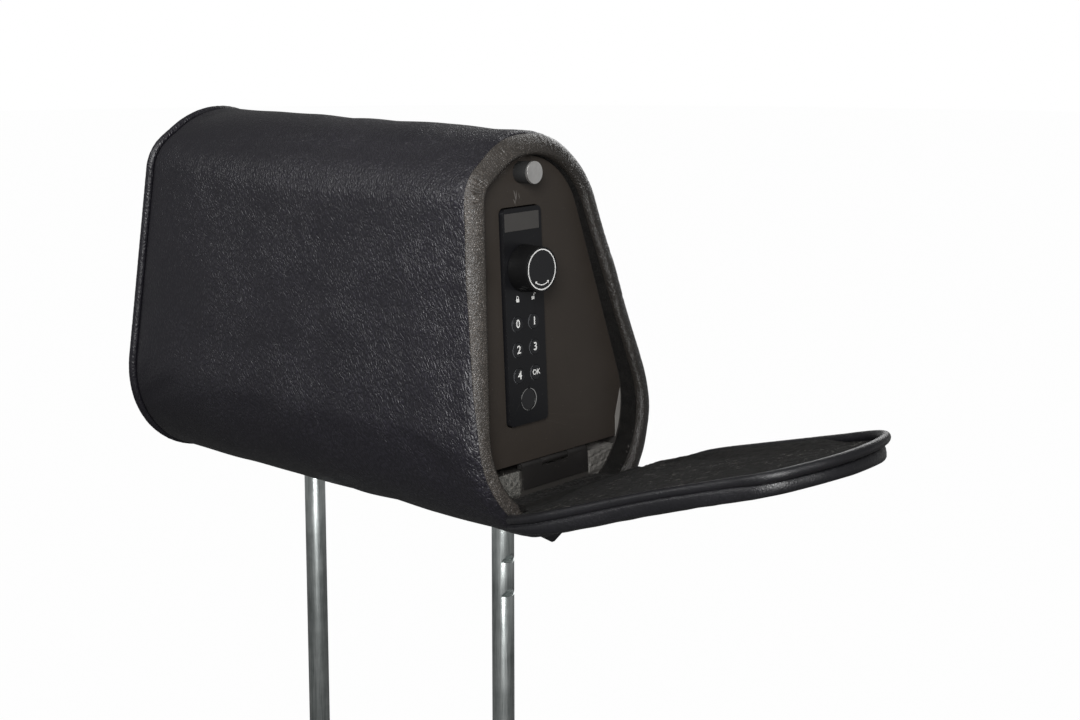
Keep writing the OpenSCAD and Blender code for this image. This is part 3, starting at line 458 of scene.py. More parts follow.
class Finishes:
    """Every finish of the part, built once and handed out by name."""

    def __init__(self) -> None:
        """Builds the materials."""
        self.leather = Leather("body_leather", (0.0064, 0.0058, 0.0086), (0.0182, 0.0166, 0.0232)).build()
        # The roll's lighter brown is partly its own leather and partly painted highlight on its lit front;
        # its rear side is darkened as painted shade.
        self.roll = Leather("roll_leather", (0.029, 0.0256, 0.0224), (0.108, 0.094, 0.083),
                            1.35, 1.5, 0.3, 0.3, 0.75, rear_painted_shade=0.78).build()
        self.flap = Leather("flap_leather", (0.0052, 0.0052, 0.0064), (0.012, 0.0115, 0.0138),
                            1.0, 1.3, 0.1, 0.31, 1.0).build()
        self.flap_back = Leather("flap_back_leather", (0.0052, 0.0052, 0.0064), (0.0128, 0.0122, 0.015),
                                 1.2, 1.4, 0.13, 0.32, 1.3).build()
        self.felt = Felt("black_felt", (0.0125, 0.0116, 0.0105), (0.09, 0.084, 0.075), 0.45).build()
        # The recess walls get a darker copy of the black felt: painted shade in the recess, which also dims
        # its lint; the lint is also sparser.
        self.shaded_wall_felt = Felt("recess_felt", (0.0085, 0.0078, 0.007), (0.045, 0.042, 0.038),
                              0.15).build()
        self.lint = Print("lint_fibre", (0.24, 0.225, 0.2)).build()
        self.dark_lint = Print("felt_fibre", (0.03, 0.028, 0.026)).build()
        self.foam = Moulded("foam", (0.06, 0.058, 0.052), 0.9, 0.8, 0.2, 0.2).build()
        self.door = PaintedSteel("door_powder_coat", (0.0262, 0.0212, 0.0172), 0.5).build()
        self.shell = PaintedSteel("shell_powder_coat", (0.02, 0.018, 0.0165), 0.55, 0.07).build()
        self.frame = PaintedSteel("frame_powder_coat", (0.03, 0.028, 0.0255), 0.5, 0.08, 1.4, 0.45,
                                  (0.21, 0.2, 0.188)).build()
        self.hinge = PaintedSteel("hinge_paint", (0.012, 0.011, 0.0105), 0.45, 0.04, 0.9).build()
        self.tape = Moulded("dusty_tape", (0.085, 0.081, 0.075), 0.5, 1.6, 0.12, 0.4).build()
        self.residue = Residue("glue_residue", (0.12, 0.118, 0.108)).build()
        self.post = BrushedSteel("zinc_post", (0.84, 0.885, 0.87), (0.33, 0.372, 0.366)).build()
        self.zinc = BrushedSteel("zinc_plate", (0.55, 0.55, 0.53), (0.36, 0.36, 0.34),
                                 (1.0, 12.0, 1.0)).build()
        self.bolt = BrushedSteel("ground_bolt", (0.6, 0.6, 0.6), (0.4, 0.4, 0.4),
                                 (1.0, 25.0, 1.0), 0.3, 0.28).build()
        self.disc = BrushedSteel("catch_disc", (0.97, 0.96, 0.94), (0.8, 0.79, 0.77),
                                 (1.0, 1.0, 8.0), 0.25, 0.42).build()
        self.brass = Polished("pinion_brass", (0.6, 0.45, 0.18), 0.3).build()
        self.chrome = Polished("ring_chrome", (0.72, 0.72, 0.7), 0.14).build()
        self.panel = Moulded("lock_panel", (0.0046, 0.0047, 0.0056), 0.36, 0.2, 0.006, 0.36).build()
        self.knob = Moulded("knob_body", (0.0028, 0.0028, 0.003), 0.45, 0.3, 0.01, 0.35).build()
        self.knob_face = Moulded("knob_face", (0.0055, 0.0055, 0.0065), 0.28, 0.2, 0.003).build()
        self.key = Moulded("key_cap", (0.007, 0.0073, 0.0086), 0.36, 0.2, 0.008).build()
        self.case = Moulded("black_case", (0.012, 0.012, 0.012), 0.55, 0.4, 0.03).build()
        self.window = Moulded("label_window", (0.04, 0.038, 0.036), 0.42, 0.5, 0.02).build()
        self.sensor = Moulded("sensor_glass", (0.004, 0.004, 0.005), 0.12, 0.3, 0.001).build()
        self.board = Moulded("solder_mask", (0.01, 0.07, 0.03), 0.35).build()
        self.cell = Moulded("cell_sleeve", (0.03, 0.07, 0.045), 0.35).build()
        self.rubber = Moulded("ribbed_mat", (0.012, 0.012, 0.012), 0.8, 0.6, 0.1, 0.3).build()
        self.fibreboard = Moulded("fibre_board", (0.05, 0.04, 0.03), 0.85, 0.7, 0.1, 0.3).build()
        # painted highlight: the pale arcs on the left rims of the keys
        self.key_rim_highlight = Print("key_rim_painted_highlight", (0.12, 0.122, 0.13)).build()
        self.ink = Print("white_ink", (0.78, 0.78, 0.76)).build()
        self.scuff = Print("rubbed_paint", (0.11, 0.1, 0.092)).build()
        self.thread = Print("seam_thread", (0.02, 0.02, 0.021)).build()


# ---------------------------------------------------------------- mesh making


def put_mesh(name: str, points: np.ndarray, faces: list[np.ndarray], material: bpy.types.Material,
             crease: float = 40.0) -> bpy.types.Object:
    """Makes a mesh object at the origin from points in millimetres.

    The signed volume of the closed mesh tells which way its faces point, and they are
    turned round if it is negative.

    Args:
        name: the piece's name.
        points: N by 3 array.
        faces: arrays of vertex numbers, one row per face; arrays may differ in width.
        material: its finish.
        crease: edges sharper than this angle in degrees stay sharp.

    Returns:
        The new object, linked to the scene.
    """
    points = np.asarray(points, dtype=float).reshape(-1, 3)
    volume = 0.0
    for block in faces:
        first = points[block[:, 0]]
        for k in range(1, block.shape[1] - 1):
            cross = np.cross(points[block[:, k]], points[block[:, k + 1]])
            volume += float(np.einsum("ij,ij->", first, cross))
    if volume < 0:
        faces = [block[:, ::-1] for block in faces]
    mesh = bpy.data.meshes.new(name)
    mesh.from_pydata((points * MM).tolist(), [], [row for block in faces for row in block.tolist()])
    mesh.update()
    mesh.shade_smooth()
    mesh.set_sharp_from_angle(angle=math.radians(crease))
    mesh.materials.append(material)
    piece = bpy.data.objects.new(name, mesh)
    bpy.context.scene.collection.objects.link(piece)
    LOG.info("piece %s: %d faces", name, len(mesh.polygons))
    return piece


def quads(count_u: int, count_v: int, loop_u: bool, loop_v: bool) -> np.ndarray:
    """Face table of a grid whose point (i, j) has number i * count_v + j.

    Args:
        count_u: points along the first direction.
        count_v: points along the second direction.
        loop_u: whether the first direction closes on itself.
        loop_v: whether the second direction closes on itself.

    Returns:
        One row of four vertex numbers per face.
    """
    i, j = np.meshgrid(np.arange(count_u if loop_u else count_u - 1),
                       np.arange(count_v if loop_v else count_v - 1), indexing="ij")
    k, m = (i + 1) % count_u, (j + 1) % count_v
    corners = [i * count_v + j, k * count_v + j, k * count_v + m, i * count_v + m]
    return np.stack(corners, -1).reshape(-1, 4)


def hoop(name: str, grid: np.ndarray, material: bpy.types.Material, crease: float = 40.0) -> bpy.types.Object:
    """A ring: a closed section (second axis) carried round a closed path (first axis)."""
    nu, nv = grid.shape[:2]
    return put_mesh(name, grid.reshape(-1, 3), [quads(nu, nv, True, True)], material, crease)


def tube(name: str, grid: np.ndarray, material: bpy.types.Material, crease: float = 40.0) -> bpy.types.Object:
    """A bar: a closed section (second axis) along an open path (first axis), with flat caps."""
    nu, nv = grid.shape[:2]
    caps = np.stack([np.arange(nv)[::-1], (nu - 1) * nv + np.arange(nv)])
    return put_mesh(name, grid.reshape(-1, 3), [quads(nu, nv, False, True), caps], material, crease)


def pad(name: str, grid: np.ndarray, material: bpy.types.Material, crease: float = 40.0) -> bpy.types.Object:
    """A cushion form: rings (second axis) round a closed outline (first axis).

    The rings go from the middle of one face over the edge to the middle of the other, and one
    face closes each middle.
    """
    nu, nv = grid.shape[:2]
    ring = np.arange(nu) * nv
    middles = np.stack([ring, (ring + nv - 1)[::-1]])
    return put_mesh(name, grid.reshape(-1, 3), [quads(nu, nv, True, False), middles], material, crease)


def arc(centre: tuple[float, float], radius: float, start: float, end: float, count: int) -> np.ndarray:
    """Points on an arc, angles in degrees from the first axis."""
    angle = np.radians(np.linspace(start, end, count))
    return np.stack([centre[0] + radius * np.cos(angle), centre[1] + radius * np.sin(angle)], -1)


def ripple(along: np.ndarray, across: np.ndarray, seed: int, waves: int, short: float,
           long: float) -> np.ndarray:
    """Smooth seeded noise: a mean of sines whose lengths lie between `short` and `long`.

    Args:
        along: first coordinate in millimetres.
        across: second coordinate in millimetres.
        seed: which noise.
        waves: number of sines.
        short: shortest wave in millimetres.
        long: longest wave in millimetres.

    Returns:
        Values between about -1 and 1, in the shape of the inputs.
    """
    rng = np.random.default_rng(seed)
    total = np.zeros(np.broadcast(along, across).shape)
    for _ in range(waves):
        length = math.exp(rng.uniform(math.log(short), math.log(long)))
        lean, phase = rng.uniform(0.0, TAU, 2)
        total = total + np.sin(TAU / length * (along * math.cos(lean) + across * math.sin(lean)) + phase)
    return total / math.sqrt(waves)


def smooth(values: np.ndarray, low: float, high: float) -> np.ndarray:
    """A smooth step that is 0 at low and 1 at high."""
    part = np.clip((values - low) / (high - low), 0.0, 1.0)
    return part * part * (3.0 - 2.0 * part)


# ---------------------------------------------------------------- places


@dataclass(frozen=True)
class Seat:
    """A local frame: x across the headrest, y up a leaning plane and z out of it."""

    base: float
    lean: float
    across: float = 0.0
    up: float = 0.0

    def lift(self, x: np.ndarray, y: np.ndarray, z: np.ndarray) -> np.ndarray:
        """Points of the row frame for local coordinates, all in millimetres."""
        tilt = math.radians(self.lean)
        x, y, z = np.broadcast_arrays(x + self.across, y + self.up, z)
        return np.stack([self.base + z * math.cos(tilt) - y * math.sin(tilt), x,
                         y * math.cos(tilt) + z * math.sin(tilt)], -1)

    @property
    def origin(self) -> np.ndarray:
        """The origin's place in the row frame."""
        return self.lift(np.array(0.0), np.array(0.0), np.array(0.0))

    def at(self, across: float, up: float) -> "Seat":
        """The same frame with its origin moved within its plane."""
        return Seat(self.base, self.lean, across, up)


@dataclass(frozen=True)
class Section:
    """The headrest's cross-section: four round edges joined by straight walls."""

    corners: tuple[tuple[float, float, float], ...] = (
        (-5.5, 61.0, 61.0), (-30.0, 157.5, 54.5), (-55.5, 177.0, 24.0), (-27.5, 61.0, 61.0))
    length: float = 301.0
    lean: float = 5.75

    def _walls(self) -> tuple[np.ndarray, np.ndarray, np.ndarray]:
        """Outward angle of the wall after each corner, the turn at it, and the lengths of all pieces."""
        c = np.array(self.corners)
        step = np.roll(c, -1, 0) - c
        gap = np.hypot(step[:, 0], step[:, 1])
        after = np.arctan2(step[:, 1], step[:, 0]) - np.arccos(-step[:, 2] / gap)
        turn = (after - np.roll(after, 1)) % TAU
        lengths = np.stack([c[:, 2] * turn, np.sqrt(gap ** 2 - step[:, 2] ** 2)], -1).reshape(-1)
        return after, turn, lengths

    @property
    def girth(self) -> float:
        """Length round the outside."""
        return float(self._walls()[2].sum())

    def at(self, part: np.ndarray, inset: np.ndarray | float) -> tuple[np.ndarray, np.ndarray, np.ndarray]:
        """Points of the outline, set in.

        A point on a round edge is its centre plus the shortened radius along the outward
        direction; on a wall, centre and radius run evenly from one edge to the next.

        Args:
            part: share of the way round, from 0 to 1, starting low on the rear side.
            inset: distance inside the outline, broadcast against `part`.

        Returns:
            (y, z) points, outward (y, z) directions, and the curvature in 1/mm.
        """
        c = np.array(self.corners)
        after, turn, lengths = self._walls()
        ends = np.concatenate([[0.0], np.cumsum(lengths)])
        run = (np.asarray(part) % 1.0) * ends[-1]
        k = np.clip(np.searchsorted(ends, run, side="right") - 1, 0, 7)
        share = (run - ends[k]) / lengths[k]
        i, wall = k // 2, (k % 2)[..., None]
        angle = after[i] - turn[i] * np.where(k % 2 == 0, 1.0 - share, 0.0)
        centre = c[i] + wall * share[..., None] * (c[(i + 1) % 4] - c[i])
        out = np.stack([np.cos(angle), np.sin(angle)], -1)
        point = centre[..., :2] + (centre[..., 2] - inset)[..., None] * out
        return point, out, np.where(k % 2 == 0, 1.0 / c[i, 2], 0.0)

    def near(self, z: np.ndarray, height: np.ndarray | float) -> np.ndarray:
        """X of a point `height` outside the padded end's leaning plane."""
        tilt = math.radians(self.lean)
        return self.length / 2 - z * math.tan(tilt) + height / math.cos(tilt)


@dataclass(frozen=True)
class Layout:
    """Places and sizes that several pieces share."""

    section: Section = field(default_factory=Section)
    door: Seat = Seat(133.0, 2.75)
    rim: Seat = Seat(150.5, 5.75)
    roll: float = 9.6
    inner: float = 3.2
    fold_up: float = 24.0
    fold_out: float = 3.3
    flap_open: float = 78.25
    lock_y: float = -35.1
    knob_s: float = 141.6

    def open_flap(self, points: np.ndarray) -> np.ndarray:
        """Turns points of the closed flap about its fold to where it rests."""
        pivot = self.rim.lift(np.array(0.0), np.array(self.fold_up), np.array(self.fold_out))
        angle = math.radians(self.flap_open)
        x, z = points[..., 0] - pivot[0], points[..., 2] - pivot[2]
        return np.stack([pivot[0] + x * math.cos(angle) + z * math.sin(angle), points[..., 1],
                         pivot[2] - x * math.sin(angle) + z * math.cos(angle)], -1)


# ---------------------------------------------------------------- padding


class Padding:
    """Cloth simulation that puffs a pad out by a little, with its sewn edges held."""

    def __init__(self, frames: int = 20, pressure: float = 4.0, harmonics: int = 5) -> None:
        """Keeps the simulation's length and pressure, and how many waves stay round a ring."""
        self.frames = frames
        self.pressure = pressure
        self.harmonics = harmonics

    def puff(self, piece: bpy.types.Object, held: np.ndarray, cap: float, around: int = 0) -> None:
        """Runs the cloth, limits how far each point moved, and keeps the result in the mesh.

        A pad made of rings would gather into a star of folds about its middle, so of its moves
        only the mean round each ring and the first few waves are kept.

        Args:
            piece: the pad.
            held: weight per vertex, 1 where it is sewn down.
            cap: farthest that a point may move, in millimetres.
            around: number of points round each ring of such a pad.
        """
        mesh = piece.data
        rest = np.empty(len(mesh.vertices) * 3)
        mesh.vertices.foreach_get("co", rest)
        group = piece.vertex_groups.new(name="sewn")
        for level in np.unique(np.round(held, 1)):
            group.add(np.nonzero(np.round(held, 1) == level)[0].tolist(), float(level), "REPLACE")
        cloth = piece.modifiers.new("pad", "CLOTH")
        cloth.settings.quality = 4
        cloth.settings.mass = 0.4
        cloth.settings.use_pressure = True
        cloth.settings.uniform_pressure_force = self.pressure
        cloth.settings.tension_stiffness = 30.0
        cloth.settings.compression_stiffness = 30.0
        cloth.settings.bending_stiffness = 2.0
        cloth.settings.vertex_group_mass = "sewn"
        cloth.settings.effector_weights.gravity = 0.0
        cloth.point_cache.frame_end = self.frames
        scene = bpy.context.scene
        for number in range(1, self.frames + 1):
            scene.frame_set(number)
        solved = piece.evaluated_get(bpy.context.evaluated_depsgraph_get()).to_mesh()
        moved = np.empty_like(rest)
        solved.vertices.foreach_get("co", moved)
        piece.to_mesh_clear()
        piece.modifiers.remove(cloth)
        piece.vertex_groups.clear()
        scene.frame_set(1)
        step = (moved - rest).reshape(-1, 3)
        if around:
            waves = np.fft.rfft(step.reshape(around, -1, 3), axis=0)
            waves[self.harmonics:] = 0.0
            step = np.fft.irfft(waves, around, axis=0).reshape(-1, 3)
        size = np.linalg.norm(step, axis=1, keepdims=True)
        limit = cap * MM
        step *= np.where(size > 1e-9, limit * np.tanh(size / limit) / np.maximum(size, 1e-9), 0.0)
        step[held > 0.95] = 0.0
        mesh.vertices.foreach_set("co", (rest.reshape(-1, 3) + step).reshape(-1))
        mesh.update()
        LOG.info("puffed %s by up to %.2f mm", piece.name, float(np.abs(step).max()) / MM)


def settle(piece: bpy.types.Object, body: Body | str, slot: str, *nodes: str,
           fill: float | None = None) -> None:
    """Attaches a finished piece to the body it rides on and hides the nodes that it stands for."""
    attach(piece, body.value if isinstance(body, Body) else body)
    if nodes:
        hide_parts(*nodes)


def cut(piece: bpy.types.Object, width: float, length: float) -> None:
    """Logs the size in millimetres that a sheet piece was cut to."""
    LOG.info("sheet %s cut to %.0f x %.0f mm", piece.name, width, length)


# ---------------------------------------------------------------- upholstery


@dataclass
class PaddedBody:
    """The body's leather: one taut skin sewn to the roll at one end and the welt at the other."""

    layout: Layout
    finishes: Finishes
    around: int = 320
    lengthwise: int = 52
    thickness: float = 1.6
    seam_dip: float = 0.2
    post_gap: float = 160.0
    post_ring: float = 7.0
    post_tucks: float = 11.0
    seam_heights: tuple[float, ...] = (64.0, 83.0, 107.0, 121.0, 141.0)
    seam_angles: tuple[float, ...] = (55.0, 43.0, 36.6, 34.4, 28.5)

    def seam_angle(self, z: np.ndarray) -> np.ndarray:
        """Angle on the roll's rounding, in radians, at which the body's leather is sewn to it."""
        return np.radians(np.interp(z, self.seam_heights, self.seam_angles))

    def grid(self) -> tuple[np.ndarray, np.ndarray, np.ndarray]:
        """The skin as a grid: round the section, then along the outside and back inside.

        Lengthwise the rows run from the welt to the roll on the outline itself, then over the
        roll's rounding to the seam, and return one thickness further in. Long low waves, drag
        lines that start at the seam, and tucks round the posts are added along the outward
        direction.

        Returns:
            The points, the outward direction of each and the pin weight of each.
        """
        section, roll = self.layout.section, self.layout.roll
        u = np.arange(self.around) / self.around
        between = np.linspace(0.03, 0.97, self.lengthwise)
        rows = np.concatenate([[0.0, 0.006, 0.014], between, [0.985, 1.0]])
        turn = np.linspace(0.0, 1.0, 9)[1:]
        outside = len(rows) + len(turn)
        run = np.concatenate([rows, np.ones(len(turn)), np.ones(3), [0.5, 0.0]])
        share = np.concatenate([np.zeros(len(rows)), turn, [1.0, 0.5, 0.0], [0.0, 0.0]])
        depth = np.concatenate([[1.3, 0.45, 0.05], np.zeros(outside - 4), [self.seam_dip],
                                np.full(5, self.thickness)])
        point, out, _ = section.at(u, 0.0)
        angle = share[None, :] * self.seam_angle(point[:, 1])[:, None]
        inset = roll * (1.0 - np.cos(angle)) + depth[None, :] * np.cos(angle)
        height = -roll * (1.0 - np.sin(angle)) - depth[None, :] * np.sin(angle)
        yz = point[:, None, :] - inset[..., None] * out[:, None, :]
        near = section.near(yz[..., 1], height)
        far = -section.near(yz[..., 1], np.full_like(height, -5.2))
        x = far + (near - far) * run[None, :]
        girth = u[:, None] * section.girth
        waves = 0.3 * ripple(x, girth, 3, 9, 26.0, 95.0)
        drag = 0.14 * ripple(girth, 0.25 * x, 8, 10, 5.0, 16.0) * smooth(x, near - 34.0, near - 5.0)
        at_welt = 1.0 - smooth(x, far + 3.0, far + 26.0)
        drag = drag + 0.1 * ripple(girth, 0.25 * x, 9, 10, 5.0, 14.0) * at_welt
        tuck = np.zeros_like(x)
        for side in (-0.5, 0.5):
            dx, dy = x - side * self.post_gap, yz[..., 0]
            low = smooth(-yz[..., 1], -9.0, -2.0)
            ring = np.exp(-((np.hypot(dx, dy) - self.post_ring) / 5.0) ** 2)
            tuck -= low * ring * (0.55 + 0.3 * np.cos(self.post_tucks * np.arctan2(dy, dx)))
        free = np.concatenate([np.zeros(2), np.ones(outside - 3), np.zeros(6)])
        push = (waves + drag + tuck) * free[None, :]
        yz = yz + push[..., None] * out[:, None, :]
        held = np.broadcast_to(1.0 - free[None, :], x.shape) + (tuck < -0.15)
        return np.concatenate([x[..., None], yz], -1), out, np.clip(held, 0.0, 1.0)

    def build(self, padding: Padding) -> None:
        """Makes the skin, pads it out and dresses it."""
        points, _, held = self.grid()
        skin = hoop("body_leather", points, self.finishes.leather, 60.0)
        padding.puff(skin, held.reshape(-1), 0.9)
        settle(skin, Body.HEADREST, "leather", "leather_cover", fill=0.9)


@dataclass
class DoorRoll:
    """The padded roll round the recess, in a lighter and coarser leather."""

    layout: Layout
    finishes: Finishes
    body: PaddedBody
    around: int = 720
    wrinkle: float = 0.62
    tail_x: float = 136.9
    tail_radius: float = 1.2

    def grid(self) -> np.ndarray:
        """The roll's closed section carried round the outline.

        The section is a large round arc that starts in the seam, a small round arc into the
        recess, its wall and a flat back. Its visible part moves along its own normal by short
        creases that cross the roll, deepest where the outline bends most.

        Returns:
            Grid of points, round the outline first.
        """
        section, big, small = self.layout.section, self.layout.roll, self.layout.inner
        u = np.arange(self.around) / self.around
        point, out, bend = section.at(u, 0.0)
        seam = self.body.seam_angle(point[:, 1])
        t = np.linspace(0.0, 1.0, 22)
        top = math.pi / 2
        from_seam = -0.10 + (top - seam[:, None] + 0.10) * t
        angle = seam[:, None] + from_seam
        groove = 2.0 * (1.0 - smooth(from_seam, -0.10, 0.025))
        girth = np.broadcast_to(u[:, None] * section.girth, angle.shape)
        corner = smooth(bend, 0.012, 0.042)[:, None]
        creases = ripple(girth, 2.5 * angle, 21, 12, 2.6, 6.5)
        fine = ripple(girth, 7.0 * angle, 22, 12, 1.7, 3.6)
        patchy = smooth(ripple(girth, 6.0 * angle, 23, 6, 18.0, 60.0), -0.9, 0.8)
        crown = np.sin(math.pi * np.clip(from_seam / (top - seam[:, None]), 0.0, 1.0)) ** 0.6
        push = -np.abs(creases) * self.wrinkle * (0.5 + 1.3 * corner) * patchy * crown
        push = push - 0.15 * np.abs(fine) * crown * (0.5 + 1.2 * corner)
        push = push + 0.25 * ripple(girth, angle, 24, 7, 20.0, 70.0)
        radius = big - groove + push
        outer_in, outer_h = big - radius * np.cos(angle), -big + radius * np.sin(angle)
        bent = np.linspace(0.0, top, 8)[None, 1:]
        settle_in = push[:, -1:] * (1.0 - bent / top)
        inner_in = np.broadcast_to(big + (small - 0.45) * np.sin(bent), settle_in.shape)
        inner_h = -small + (small + settle_in) * np.cos(bent)
        back_in = np.broadcast_to([12.3, 11.2, 11.1, 6.0, 3.2], (self.around, 5))
        back_h = np.broadcast_to([-6.3, -6.4, -10.7, -10.8, -10.7], (self.around, 5))
        inset = np.concatenate([outer_in, inner_in, back_in], 1)
        height = np.concatenate([outer_h, inner_h, back_h], 1)
        yz = point[:, None, :] - inset[..., None] * out[:, None, :]
        return np.concatenate([section.near(yz[..., 1], height)[..., None], yz], -1)

    def build(self) -> None:
        """Makes the roll and dresses it."""
        # the roll's finish holds painted highlight on its front and painted shade on its rear
        roll = hoop("roll_leather", self.grid(), self.finishes.roll, 70.0)
        settle(roll, Body.HEADREST, "roll_leather", "rim_roll", fill=0.9)
        self.tail()

    def tail(self) -> None:
        """A pointed tail of the cover's leather that hangs under the roll.

        Its rounded lower edge falls along one straight line to the point and climbs back along
        another, and its top lies inside the roll.
        """
        y = np.linspace(-38.0, -5.0, 67)
        low = np.interp(y, [-38.0, -23.0, -21.5, -8.0, -5.0], [2.2, -6.4, -6.4, 0.6, 2.6])
        turn, round_edge = np.linspace(math.pi, TAU, 9), self.tail_radius
        x = self.tail_x + round_edge * np.concatenate([np.cos(turn), [1.0, -1.0]])
        z = np.concatenate([low[:, None] + round_edge * (1.0 + np.sin(turn)), np.full((len(y), 2), 4.2)], 1)
        loop = np.stack([np.broadcast_to(x, z.shape), np.broadcast_to(y[:, None], z.shape), z], -1)
        settle(tube("cover_tail", loop, self.finishes.flap, 50.0), Body.HEADREST, "leather")


class Fibres:
    """Loose fibres, gathered into one mesh of thin three-sided strands."""

    def __init__(self, seed: int) -> None:
        """Starts with no strands."""
        self.rng = np.random.default_rng(seed)
        self.points: list[np.ndarray] = []

    def scatter(self, roots: np.ndarray, across: np.ndarray, up: np.ndarray, length: tuple[float, float],
                radius: float = 0.035, rise: float = 0.35) -> None:
        """Lays curled strands on a surface.

        A strand's middle line starts at its root, runs in a random direction of the surface and
        turns steadily, while its height follows half a sine. Three points stand round each of its
        seven stations.

        Args:
            roots: N by 3 starting points.
            across: unit direction in the surface.
            up: unit normal of the surface.
            length: shortest and longest strand.
            radius: half thickness.
            rise: how high a strand's middle stands.
        """
        count = len(roots)
        side = np.cross(up, across)
        t = np.linspace(0.0, 1.0, 7)
        long = self.rng.uniform(*length, count)[:, None]
        bend = self.rng.normal(0.0, 2.2, count)[:, None] * t
        start = self.rng.uniform(0.0, TAU, count)[:, None]
        step = long / 6.0
        flat_x = np.cumsum(step * np.cos(start + bend), 1)
        flat_y = np.cumsum(step * np.sin(start + bend), 1)
        tall = np.sin(math.pi * t)[None] * self.rng.uniform(0.1, 1.0, count)[:, None] * rise + radius
        line = roots[:, None] + flat_x[..., None] * across + flat_y[..., None] * side + tall[..., None] * up
        spin = np.arange(3) * TAU / 3
        thin = radius * (0.35 + 0.65 * np.sin(math.pi * np.clip(t, 0.06, 0.94)))[None, :, None, None]
        facing = start + bend + math.pi / 2
        normal = np.cos(facing)[..., None] * across + np.sin(facing)[..., None] * side
        around = np.cos(spin)[:, None] * normal[:, :, None] + np.sin(spin)[:, None] * up
        self.points.append(line[:, :, None] + thin * around)

    def build(self, name: str, material: bpy.types.Material,
              move: Callable[[np.ndarray], np.ndarray] | None = None) -> bpy.types.Object:
        """Joins every strand into one mesh.

        Args:
            name: the piece's name.
            material: its finish.
            move: optional function applied to all points.

        Returns:
            The new object.
        """
        ring = np.concatenate(self.points)
        if move is not None:
            ring = move(ring)
        count = len(ring)
        starts = np.arange(count)[:, None, None] * 21
        side = (starts + quads(7, 3, False, True)[None]).reshape(-1, 4)
        ends = (starts + np.array([[0, 1, 2], [20, 19, 18]])[None]).reshape(-1, 3)
        return put_mesh(name, ring.reshape(-1, 3), [side, ends], material)


